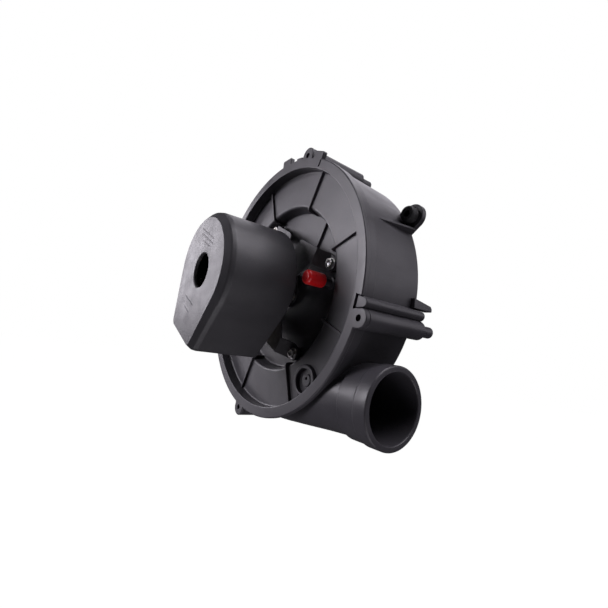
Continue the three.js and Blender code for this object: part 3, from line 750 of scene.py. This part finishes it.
def outlet_outside():
    """The scroll's outlet: a squarish duct that turns into a round pipe with a collar and a lip."""
    neck = DUCT_OUTSIDE[-1][0]
    rings = [duct_ring(*section) for section in blended_sections(DUCT_OUTSIDE)]
    collar = rounded([
        (neck + 0.6, 23.6, 0), (neck + 2.2, 25.2, 0.8), (OUTLET_MOUTH - 11.2, 25.2, 0.4),
        (OUTLET_MOUTH - 10, 26, 0.4), (OUTLET_MOUTH, 26, 1.1), (OUTLET_MOUTH, 22.4, 0),
    ])
    rings += [duct_ring(p.x, p.y, p.y, 2, OUTLET_Y) for p in collar]
    return loft(rings)


def outlet_inside():
    rings = [duct_ring(*section) for section in blended_sections(DUCT_INSIDE)]
    rings.append(duct_ring(OUTLET_MOUTH - 1.2, 21.8, 21.8, 2, OUTLET_Y))
    rings.append(duct_ring(OUTLET_MOUTH - 0.3, 22.1, 22.1, 2, OUTLET_Y))
    rings.append(duct_ring(OUTLET_MOUTH + 0.5, 23, 23, 2, OUTLET_Y))
    return loft(rings)


def drum_outside():
    front = FLANGE_BACK + GAP
    return turned([
        (0, 0, 0), (101, 0, 1.4), (103, -45.6, 0.3), (104.3, -46.4, 0.4), (104.3, front, 0.3), (0, front, 0),
    ], BIG)


def drum_inside():
    back, front = -3, FLANGE_BACK - 1
    return turned([(0, back, 0), (98.1, back, 2.2), (100.2, -46, 0.5), (100.2, front, 0), (0, front, 0)], BIG)


def mount_tube(angle):
    """A screw tube down the drum's side, ending in a spigot behind the back face."""
    at = polar(EAR_CIRCLE, angle)
    body = rod(EAR_RADIUS, FLANGE_BACK + GAP, 0, at, 48, 0.4)
    tip = housing_high.y
    spigot = turned([(0, -2, 0), (4, -2, 0), (4, tip, 1.0), (0, tip, 0)], SMALL, at)
    return [body, spigot]


def hook_tongue():
    """A tapered tongue behind the back face, above the locating rail."""
    tip = housing_high.y
    outline = rounded([(-7, -4.6, 0), (tip - 1.5, -7.4, 0.6), (tip, -9.2, 0.6), (tip, -11.4, 0.5),
                       (-7, -11.4, 0)])
    return slab(outline, 98.6, 104.6, lambda a, b, c: Vector((c, a, b)), (0.5, 0.5))


def lug_fin(angle):
    """A thin fin that rises from the drum towards the lug above it."""
    outline = rounded([(102.2, -46, 0), (98.5, -46, 0), (98.5, -3, 0), (106.5, -3, 0.8)])
    return slab(outline, -1, 1, at_angle(angle), (0.4, 0.4))


def scroll_wall():
    """The inner wall that spirals out from the cut-off beside the outlet to the drum."""
    steps, wall = 60, 2.2
    first, last = (72, -33), (99, 118)
    inner, outer = [], []
    for i in range(steps + 1):
        radius, angle = (a + (b - a) * i / steps for a, b in zip(first, last))
        inner.append(Vector(polar(radius - wall / 2, angle)))
        outer.insert(0, Vector(polar(radius + wall / 2, angle)))
    return slab(inner + outer, ANNULUS + COVER_WALL + 0.4, -2.5, edge=(0, 0))


def build_rear_housing():
    """The drum with its outlet, screw tubes, lugs, rail and tongue, hollowed out round the scroll's wall."""
    inlet, lug_hole = 36, 4.6
    lip = inlet + 2.5
    lugs = [slab(ear_outline(angle, LUG_CIRCLE, LUG_RADIUS, 92), -LUG_THICK, 0, edge=(0.5, 0.5))
            for angle in LUG_ANGLES]
    rail_outline = ear_outline(RAIL_ANGLE, RAIL_CIRCLE, RAIL_RADIUS, 101)
    rail = slab(rail_outline, FLANGE_FRONT + 0.6, 0, edge=(0.8, 0.4))
    tubes = [part for angle in EAR_ANGLES for part in mount_tube(angle)]
    fins = [lug_fin(angle - 5.5) for angle in LUG_ANGLES]
    inlet_lip = tube(lip, inlet - 1, -2, 2.5, steps=MEDIUM, edge=0.6)
    body = joined([drum_outside(), outlet_outside(), inlet_lip, *tubes, *lugs, *fins, rail, hook_tongue()])
    seat = tube(gasket_high.x + 0.5, lip, gasket_low.y - GAP, 1, steps=MEDIUM)
    groove = tube(103, 101.2, FLANGE_BACK - 1, FLANGE_BACK + 1.9, steps=BIG)
    holes = [rod(MOUNT_HOLE, -70, 30, polar(EAR_CIRCLE, angle)) for angle in EAR_ANGLES]
    lug_holes = [rod(lug_hole, -20, 20, polar(LUG_CIRCLE, angle)) for angle in LUG_ANGLES]
    body = cut(body, [drum_inside(), rod(inlet, -9, 9, steps=MEDIUM), seat, groove, *holes, *lug_holes])
    body = joined([body, scroll_wall()])
    body = cut(body, [outlet_inside()])
    piece(body, "housing_shell", "rear_housing", housing_plastic)


# ---------------------------------------------------------------- motor cap

CAP_RADIUS = cap_high.x
CAP_TAIL = 56.5
CAP_TAIL_HALF = 24
CAP_ASKEW = 2.5  # degrees that the cap's tail is turned from the motor's
MARK_HEIGHT = 0.1
CAP_FACE = cap_low.y + MARK_HEIGHT
CAP_REAR = cap_high.y
CAP_WALL = 2.3
CAP_HOLE = 12.5
CAP_HOLE_POINT = (1.2, 2.6)
CAP_MARKS = [  # along the tail, across it from and to
    (-24.3, -19.4, 7.3), (-20.8, -18, 8.5), (-17.3, -11.4, 2.6), (26.9, -8, 8), (34, -6, 5.6),
]


def cap_outline(away):
    """The cap's outline, drawn in by a distance: a circle and a flat-ended tail."""
    radius, tail, half = CAP_RADIUS - away, CAP_TAIL - away * 0.55, CAP_TAIL_HALF - away * 0.45
    tangent = math.degrees(math.atan2(half, tail) + math.acos(radius / math.hypot(half, tail)))
    steps = 110
    corners = [(tail, half, 5)]
    for i in range(steps + 1):
        corners.append((*polar(radius, tangent + (360 - 2 * tangent) * i / steps), 0))
    corners.append((tail, -half, 5))
    askew = Matrix.Rotation(math.radians(CAP_ASKEW), 2)
    return [tail_xz(*(askew @ p)) for p in rounded(corners, 8)]


def cap_solid(corners):
    """The cap's outline at rising insets. Corners are (inset, Y, radius), from the rear to the face."""
    axis = CAP_RADIUS
    first, last = (axis, corners[0][1], 0), (axis, corners[-1][1], 0)
    levels = rounded([first, *corners, last], 6)[1:-1]
    return loft([[Vector((p.x, level.y, p.y)) for p in cap_outline(level.x)] for level in levels])


def cap_mark(along, start, end):
    """A plain printed bar, a little proud of the cap's face."""
    half, corner = 0.55, 0.2
    outline = rectangle(along - half, along + half, start, end, corner, 3)
    return slab(outline, CAP_FACE - MARK_HEIGHT, CAP_FACE + 0.2, on_motor, (0.1, 0))


def build_motor_cap():
    """The cap: a deep shell with a sloped shoulder, an air hole, two inner ribs and printed bars."""
    outside = cap_solid([(0, CAP_REAR, 0.6), (0.4, CAP_FACE + 7, 5), (1.3, CAP_FACE + 3.8, 3),
                         (5.6, CAP_FACE, 0.8)])
    inner_face = CAP_FACE + CAP_WALL
    inside = cap_solid([(CAP_WALL, CAP_REAR + 1, 0), (CAP_WALL + 0.4, CAP_FACE + 8, 3),
                        (CAP_WALL + 1.4, CAP_FACE + 5.6, 2), (CAP_WALL + 4.6, inner_face, 0.8)])
    rib = rounded([(-2, 25.4, 0.4), (2, 25.4, 0.4), (2, 41.4, 0), (-2, 41.4, 0)])
    ribs = [slab(mirrored(rib, 1, side), CAP_FACE + 23, CAP_REAR - 3, on_motor, (0.4, 0.4))
            for side in (-1, 1)]
    shell = joined([cut(outside, [inside]), *ribs])
    before, behind = CAP_FACE - 2, inner_face + 3
    flare = turned([(0, before, 0), (CAP_HOLE + 3.2, before, 0), (CAP_HOLE, CAP_FACE + 0.7, 1.2),
                    (CAP_HOLE, behind, 0), (0, behind, 0)], at=tail_xz(*CAP_HOLE_POINT))
    piece(cut(shell, [flare]), "cap_shell", "motor_cap", cap_plastic)
    marks = gathered([cap_mark(*mark) for mark in CAP_MARKS])
    piece(marks, "cap_marks", "motor_cap", mark_print)


# ---------------------------------------------------------------- rubber, seals and the tap cap


def build_seals():
    """The rubber and foam pieces between the housing, the motor and the furnace panel."""
    for node in nodes_named("lug_grommet"):
        low, high = extent(node)
        grommet = turned([
            (2.4, low.y, 0.5), (5.2, low.y, 0.6), (5.9, low.y + 1.2, 0.6), (5.9, -LUG_THICK - GAP, 0.5),
            (4.3, -LUG_THICK - GAP, 0), (4.3, GAP, 0), (6.2, GAP, 0.4), (6.2, high.y, 0.7),
            (2.4, high.y, 0.4),
        ], 64, middle(node))
        piece(grommet, f"{node}_rubber", node, black_rubber)
    for node in nodes_named("mount_washer"):
        low, high = extent(node)
        bulged = turned([(2.1, low.y, 0.3), (4.7, low.y, 0.4), (5.2, (low.y + high.y) / 2, 0.8),
                         (4.7, high.y, 0.4), (2.1, high.y, 0.3)], 48, middle(node))
        piece(bulged, f"{node}_rubber", node, black_rubber)
    low, high = extent("shaft_seal")
    bore, neck = SHAFT_RADIUS + 0.5, SHAFT_HOLE - GAP
    seal = turned([
        (bore, low.y + 0.6, 0.3), (9, low.y, 0.8), (high.x, low.y + 0.6, 0.8),
        (high.x, WELL_FLOOR - GAP, 0.3), (neck, WELL_FLOOR - GAP, 0), (neck, high.y, 0.4),
        (bore, high.y, 0.3),
    ])
    piece(seal, "shaft_seal_rubber", "shaft_seal", black_rubber)
    gasket = tube(gasket_high.x, 39.2, gasket_low.y, gasket_high.y, steps=MEDIUM, edge=0.7)
    piece(gasket, "inlet_gasket_foam", "inlet_gasket", grey_foam)
    low, high = extent("housing_seal")
    cord = tube(high.x, high.x - 1.2, low.y, high.y, steps=BIG, edge=0.5)
    piece(cord, "housing_seal_ring", "housing_seal", black_rubber)


def build_tap_cap():
    """The dipped vinyl cap on the pressure tap: a soft open lip and a rounded closed end."""
    low, high = extent("pressure_tap_cap")
    bore, outer = 3.2, (high.x - low.x) / 2
    cap = turned([
        (bore, high.y, 0.5), (outer - 0.1, high.y, 1.0), (outer, high.y - 3, 2), (outer - 0.1, low.y, 2.4),
        (0, low.y, 0), (0, low.y + 3, 0), (bore, low.y + 3, 1.2),
    ], 64, middle("pressure_tap_cap"), 8)
    piece(cap, "tap_cap_vinyl", "pressure_tap_cap", red_vinyl, 60)


# ---------------------------------------------------------------- fasteners


def hexagon(radius, at, y0, y1):
    """A hexagonal prism whose corners are chamfered at its low end."""
    prism = slab([Vector(polar(radius, 60 * i)) + Vector(at) for i in range(6)], y0 - 1, y1, edge=(0, 0))
    wide = radius * 1.05
    crown = turned([(0, y0, 0), (radius * 0.9, y0, 0.2), (wide, y0 + 0.7, 0), (wide, y1 + 1, 0),
                    (0, y1 + 1, 0)], 48, at)
    return combine(prism, [crown], "INTERSECT")


def threaded(radius, y0, y1, at, pitch=0.8):
    """A shank with ring-shaped thread crests."""
    root = radius - 0.35
    profile = [(0, y0, 0), (root, y0, 0)]
    for i in range(int((y1 - y0) / pitch)):
        profile += [(root, y0 + pitch * (i + 0.1), 0), (radius, y0 + pitch * (i + 0.6), 0)]
    profile += [(root, y1, 0), (0, y1, 0)]
    return turned(profile, SMALL, at)


def mount_screw(at, low, high):
    """A self-tapping screw with a washer face and a dished hexagon head."""
    head_end, seat = low + 2.4, low + 3.2
    washer_face = turned([(0, low + 2.1, 0), (4.3, low + 2.1, 0.3), (4.8, seat, 0.3), (0, seat, 0)], 48, at)
    dish = turned([(0, low - 1, 0), (2.7, low - 1, 0), (2.3, low + 0.9, 0.4), (0, low + 1.3, 0)], 48, at)
    body = joined([hexagon(3.8, at, low, head_end), washer_face, threaded(1.7, seat - 0.2, high, at)])
    return cut(body, [dish])


def build_fasteners():
    for node in nodes_named("mount_screw"):
        low, high = extent(node)
        piece(mount_screw(middle(node), low.y, high.y), f"{node}_steel", node, zinc)
    for node in nodes_named("motor_bolt"):
        low, high = extent(node)
        at = middle(node)
        bolt = joined([hexagon(3.5, at, low.y, low.y + 2.6), rod(1.85, low.y + 2, high.y - 8, at),
                       threaded(1.9, high.y - 8.2, high.y, at, 0.9)])
        piece(bolt, f"{node}_steel", node, zinc)
    for node in nodes_named("motor_nut"):
        low, high = extent(node)
        at = middle(node)
        nut = cut(hexagon(3.7, at, low.y, high.y), [rod(2.2, low.y - 1, high.y + 1, at)])
        piece(nut, f"{node}_steel", node, zinc)


# ---------------------------------------------------------------- motor


PLATE_FRONT = -52.5  # mount bracket
PLATE_REAR = -50.8
FOOT_FRONT = -43.7
FOOT_REAR = -42.2
BEARING_BORE = 7.3  # of the two brackets' cups


def bracket_arm(along, across):
    """One arm: a wedge of the plate, a slope down towards the cover and a round foot."""
    side, way = math.copysign(1, along), math.copysign(1, across)
    inner, outer, slope_top, slope_foot = 31, 44, 33, 40
    wedge = rounded([(14, 0, 0), (outer, 8, 5), (outer, slope_top, 0), (inner, slope_top, 0), (14, 18, 3)])
    start, end = slope_top - 0.4, slope_foot + 0.4
    slope = [(start, PLATE_FRONT, 0), (end, FOOT_FRONT, 0), (end, FOOT_REAR, 0), (start, PLATE_REAR, 0)]
    foot = rounded([(inner, slope_foot, 0), (outer, slope_foot, 0), (outer - 1, abs(across), 0),
                    (inner + 1, abs(across), 0)])
    return [
        slab(mirrored(wedge, side, way), PLATE_FRONT, PLATE_REAR, on_motor, (0.4, 0.3)),
        slab(rounded(slope), inner, outer, lambda a, b, c: along_tail(side * c, b, way * a), (0.4, 0.4)),
        slab(mirrored(foot, side, way), FOOT_FRONT, FOOT_REAR, on_motor, (0.4, 0.3)),
        rod(5.5, FOOT_FRONT, FOOT_REAR, tail_xz(along, across), 48, 0.4),
    ]


def build_mount_bracket():
    """A stamped, painted plate round the rear bearing, with four arms that step down to the cover."""
    cup_front = extent("rear_bearing")[0].y - 0.4
    cup = turned([(BEARING_BORE, cup_front, 0.3), (9.2, cup_front, 0.9), (9.2, PLATE_FRONT, 1.2),
                  (11, PLATE_FRONT, 0), (11, PLATE_REAR, 0), (BEARING_BORE, PLATE_REAR, 0.5)])
    plate = tube(26, 9, PLATE_FRONT, PLATE_REAR, steps=MEDIUM, edge=0.4)
    feet = [rod(4.4, STACK_REAR + GAP, PLATE_FRONT + 0.5, tail_xz(*point), edge=0.3) for point in BOLT_POINTS]
    arms = [part for point in MOUNT_POINTS for part in bracket_arm(*point)]
    window = rounded([(36, -17.5, 1), (48, -17.5, 0), (48, 17.5, 0), (36, 17.5, 1)])
    window = slab(window, -60, -45, on_motor, (0, 0))
    bolt_holes = [rod(2.2, -70, -40, tail_xz(*point)) for point in BOLT_POINTS]
    screw_holes = [rod(2.4, -50, -40, tail_xz(*point)) for point in MOUNT_POINTS]
    body = joined([plate, cup, *feet, *arms])
    body = cut(body, [rod(BEARING_BORE, -70, -40, steps=MEDIUM), window, *bolt_holes, *screw_holes])
    piece(body, "mount_plate", "motor_mount_bracket", black_paint)


def build_bearing_bracket():
    """The bridge that holds the front bearing, with a pressed cup and two feet."""
    low, high = extent("front_bearing_bracket")
    front, rear = high.y - 5.7, high.y - 3.7
    strap = slab(rectangle(-7, 7, -23, 23, 5, 8), front, rear, on_motor, (0.5, 0.4))
    cup = turned([(BEARING_BORE, low.y, 0.4), (9.2, low.y, 1.0), (9.2, front + 0.4, 1.0),
                  (10.4, rear, 0), (BEARING_BORE, rear, 0.4)])
    feet = [rod(4.4, front + 0.5, high.y, tail_xz(*point), edge=0.3) for point in BOLT_POINTS]
    body = joined([strap, cup, *feet])
    holes = [rod(2.2, -99, -80, tail_xz(*point)) for point in BOLT_POINTS]
    body = cut(body, [rod(BEARING_BORE, -99, -80, steps=MEDIUM), *holes])
    piece(body, "bearing_bridge", "front_bearing_bracket", zinc)


def build_bearings():
    for node in ("front_bearing", "rear_bearing"):
        low, high = extent(node)
        sleeve = tube(high.x, SHAFT_RADIUS + GAP, low.y, high.y, steps=64, edge=0.5)
        piece(sleeve, f"{node}_sleeve", node, bronze)
    for node in ("front_thrust_washer", "rear_thrust_washer"):
        low, high = extent(node)
        washer = tube(high.x, SHAFT_RADIUS + GAP, low.y, high.y, steps=64, edge=0.25)
        piece(washer, f"{node}_disc", node, white_nylon)


def coil_outline(along0, along1, margin, corner):
    """A rounded rectangle along the tail and Y, a margin beyond the stack's front and rear."""
    return rectangle(along0, along1, STACK_FRONT - margin, STACK_REAR + margin, corner, 8)


def build_coil():
    """The winding, with a swell for each turn of round wire, and the bobbin that it is wound on."""
    half, turns, steps = 13.2, 24, 6
    rings = []
    for i in range(turns * steps + 1):
        across = half * (2 * i / (turns * steps) - 1)
        sunk = 0.46 * (1 - abs(math.sin(math.pi * i / steps)))
        outline = coil_outline(23 + sunk, 48.4 - sunk, 7 - sunk, 4)
        rings.append([along_tail(p.x, p.y, across) for p in outline])
    window = slab(coil_outline(28.1, 42.9, 1.9, 0.3), -20, 20, along_tail, (0, 0))
    piece(cut(loft(rings), [window]), "coil_wire", "coil_winding", copper)
    ends = [slab(coil_outline(21.6, 49.8, 8, 3), at - 0.75, at + 0.75, along_tail)
            for at in (-14.25, 14.25)]
    sleeve = slab(coil_outline(28.4, 42.6, 1.6, 0.6), -14, 14, along_tail, (0, 0))
    core = slab(coil_outline(29.7, 41.3, GAP, 0.2), -20, 20, along_tail, (0, 0))
    piece(cut(joined([*ends, sleeve]), [core]), "bobbin_nylon", "coil_bobbin", white_nylon)


def build_terminals():
    """Spade terminals with a chamfered tip and a latch hole."""
    for node, at in zip(nodes_named("spade_terminal"), (-14.2, 14.2)):
        low, high = extent(node)
        outline = rounded([(38, low.y, 0), (44.3, low.y, 0.2), (44.3, high.y - 1.6, 0.3), (42.9, high.y, 0.3),
                           (39.4, high.y, 0.3), (38, high.y - 1.6, 0.3)], 3)
        blade = slab(outline, at - 0.4, at + 0.4, along_tail, (0.12, 0.12))
        hole = slab(circle(0.9, (41.15, high.y - 3.6)), at - 2, at + 2, along_tail, (0, 0))
        piece(cut(blade, [hole]), f"{node}_blade", node, zinc)


# ---------------------------------------------------------------- turning parts


def build_shaft():
    low, high = shaft_low.y, shaft_high.y
    shaft = rod(SHAFT_RADIUS, low, high, steps=64, edge=0.5)
    piece(shaft, "shaft_steel", "motor_shaft", zinc)


def build_rotor_core():
    """The cage rotor, with end rings proud of its laminations."""
    low, high = extent("rotor_core")
    bore, end_ring = SHAFT_RADIUS + GAP, 13.4
    front, rear = STACK_FRONT - 0.4, STACK_REAR + 0.4
    core = turned([
        (bore, low.y, 0.3), (end_ring, low.y, 0.5), (end_ring, front, 0), (high.x, front, 0.3),
        (high.x, rear, 0.3), (end_ring, rear, 0), (end_ring, high.y, 0.5), (bore, high.y, 0.3),
    ])
    piece(core, "rotor_stack", "rotor_core", stack_steel)


def build_cooling_fan():
    """A moulded disc fan with eight radial blades."""
    bore = SHAFT_RADIUS + GAP
    hub = turned([(bore, fan_low.y, 0.4), (7, fan_low.y, 0.7), (7, fan_high.y, 0.4), (bore, fan_high.y, 0.3)])
    disc = tube(31, 5, fan_high.y - 1.4, fan_high.y, steps=MEDIUM, edge=0.4)
    reach = 32.9
    blade = rounded([(6, fan_high.y - 9, 0.4), (reach - 3, fan_high.y - 9, 3), (reach, fan_high.y - 6, 1),
                     (reach, fan_high.y - 0.4, 0.4), (6, fan_high.y - 0.4, 0)])
    blades = [slab(blade, -0.8, 0.8, at_angle(45 * i + 10), (0.3, 0.3)) for i in range(8)]
    piece(joined([disc, hub, *blades]), "cooling_disc", "cooling_fan", white_nylon)


def wheel_blade(angle):
    """A curved blade that leans back from the direction of turning."""
    inner, outer = 42, wheel_high.x - 0.4
    thick, sweep, steps = 1.3, 16, 10
    lead, trail = [], []
    for i in range(steps + 1):
        t = i / steps
        radius = inner + (outer - inner) * t
        lean = angle - sweep * t * t
        half = math.degrees(thick / 2 / radius)
        lead.append(Vector(polar(radius, lean + half)))
        trail.insert(0, Vector(polar(radius, lean - half)))
    return slab(lead + trail, wheel_low.y + 1, wheel_high.y - 1, edge=(0, 0))


def build_blower_wheel():
    """A back plate with its hub, a ring round the eye and 24 blades between them, and the hub's clamp."""
    front, rear, rim = wheel_low.y, wheel_high.y, wheel_high.x
    hub_end = front + 19
    plate = turned([
        (SHAFT_RADIUS + GAP, front, 0.3), (rim, front, 0.6), (rim, front + 1.6, 0.5), (12, front + 2.4, 2.5),
        (9, front + 6, 1.5), (8, hub_end, 0.6), (SHAFT_RADIUS + GAP, hub_end, 0.3),
    ], BIG)
    eye_ring = tube(rim, 45, rear - 1.6, rear, steps=BIG, edge=0.5)
    blades = [wheel_blade(15 * i) for i in range(24)]
    moulding = joined([plate, eye_ring, *blades])
    piece(moulding, "wheel_moulding", "blower_wheel", wheel_plastic)
    low, high = extent("wheel_clamp")
    clamp = tube(high.x, 8.8, low.y, high.y, steps=64, edge=0.4)
    piece(clamp, "wheel_clamp_ring", "wheel_clamp", zinc)


def finish_cad_nodes():
    """Materials for the CAD pieces whose shapes stay as they are."""
    kept = {"stator_laminations": (stack_steel, "core_steel")}
    for node in nodes_named("shading_band"):
        kept[node] = (copper, "copper")
    for node, (material, slot) in kept.items():
        shown = frame["nodes"][node]
        shown.data.materials.clear()
        shown.data.materials.append(material)


# ---------------------------------------------------------------- stage

SOFTBOX_COLOUR = (1.0, 0.96, 1.04)
BOUNCE = 0.02  # the backdrop's light on the fan, where it looks white to the camera


def studio():
    """A pale floor, a bright even backdrop and soft lights."""
    floor_drop = 0.8  # metres under the fan, so that lights from below reach it
    bpy.ops.mesh.primitive_plane_add(size=30, location=(0, 0, cad_low.z - floor_drop))
    floor = bpy.context.object
    floor.name = "floor"
    floor.data.materials.append(pale_floor())
    soft_light("face_key", (-0.92, -0.33, 0.20), 1.1, (0.4, 0.4), 2.6)
    soft_light("low_key", (-0.84, -0.53, -0.12), 1.1, (0.4, 0.4), 0.7)
    soft_light("dish_key", (-0.50, -0.80, 0.33), 1.1, (0.5, 0.5), 3.6)
    soft_light("front", (-0.42, -0.88, 0.20), 1.1, (0.3, 0.3), 4.6)
    soft_light("top", (0.30, 0.10, 0.95), 1.1, (0.6, 0.6), 4.4)
    soft_light("back", (-0.40, 0.50, 0.76), 1.1, (0.9, 0.6), 2.8)
    soft_light("side_top", (0.65, 0.20, 0.73), 1.1, (0.6, 0.6), 3.0)
    soft_light("side", (0.70, 0.60, 0.40), 1.1, (0.8, 0.8), 2.2)
    soft_light("low_side", (0.75, 0.00, -0.55), 0.9, (0.5, 0.5), 0.8)
    soft_light("under", (0.30, -0.20, -0.90), 0.9, (0.5, 0.5), 1.5)
    world = bpy.data.worlds.new("studio")
    world.use_nodes = True
    tree = world.node_tree
    seen, glow = tree.nodes["Background"], tree.nodes.new("ShaderNodeBackground")
    seen.inputs["Color"].default_value = (1, 1, 1, 1)
    glow.inputs["Strength"].default_value = BOUNCE
    path, choice = tree.nodes.new("ShaderNodeLightPath"), tree.nodes.new("ShaderNodeMixShader")
    tree.links.new(path.outputs["Is Camera Ray"], choice.inputs[0])
    tree.links.new(glow.outputs[0], choice.inputs[1])
    tree.links.new(seen.outputs[0], choice.inputs[2])
    tree.links.new(choice.outputs[0], tree.nodes["World Output"].inputs[0])
    bpy.context.scene.world = world


def pale_floor():
    """A pale sweep that is evenly lit where it is seen, and gives little light back."""
    finish = Finish("floor_paint", (0.12, 0.12, 0.12), 0.9)
    path = finish.add("ShaderNodeLightPath").outputs["Is Camera Ray"]
    finish.set("Base Color", finish.mixed(finish.noise(400, 2), (0.11, 0.11, 0.11), (0.13, 0.13, 0.13)))
    finish.set("Emission Color", (1, 1, 1, 1))
    finish.set("Emission Strength", path)
    return finish.material


def soft_light(name, direction, distance, size, power):
    """A rectangular softbox, size metres wide and high, that faces the object from a direction."""
    light = bpy.data.lights.new(name, "AREA")
    light.energy = power
    light.color = SOFTBOX_COLOUR
    light.shape = "RECTANGLE"
    light.size, light.size_y = size
    lamp = bpy.data.objects.new(name, light)
    bpy.context.scene.collection.objects.link(lamp)
    lamp.location = Vector(direction).normalized() * distance
    lamp.rotation_mode = "QUATERNION"
    lamp.rotation_quaternion = Vector(direction).to_track_quat("Z", "Y")


def make_camera():
    """The camera looks at a point near the fan's axis from its outlet side, a little from below."""
    azimuth, elevation, roll = math.radians(53.9), math.radians(-6.6), math.radians(7.7)
    aim = Vector((-5.1, -18.6, -9.2)) * MM
    distance = 0.34
    back = Vector((math.sin(azimuth) * math.cos(elevation), -math.cos(azimuth) * math.cos(elevation),
                   math.sin(elevation)))
    right = Vector((math.cos(azimuth), math.sin(azimuth), 0))
    up = back.cross(right)
    tilted = Matrix((right * math.cos(roll) + up * math.sin(roll),
                     up * math.cos(roll) - right * math.sin(roll), back)).transposed()
    data = bpy.data.cameras.new("camera")
    data.lens = 22.74
    data.sensor_width = 36
    data.clip_start, data.clip_end = 0.01, 50
    camera = bpy.data.objects.new("camera", data)
    bpy.context.scene.collection.objects.link(camera)
    camera.rotation_mode = "QUATERNION"
    camera.rotation_quaternion = tilted.to_quaternion()
    camera.location = aim + back * distance
    bpy.context.scene.camera = camera
    bpy.context.scene.view_settings.view_transform = "Standard"


make_camera()
studio()
build_front_cover()
build_rear_housing()
build_motor_cap()
build_seals()
build_tap_cap()
build_fasteners()
build_mount_bracket()
build_bearing_bracket()
build_bearings()
build_coil()
build_terminals()
build_shaft()
build_rotor_core()
build_cooling_fan()
build_blower_wheel()
finish_cad_nodes()
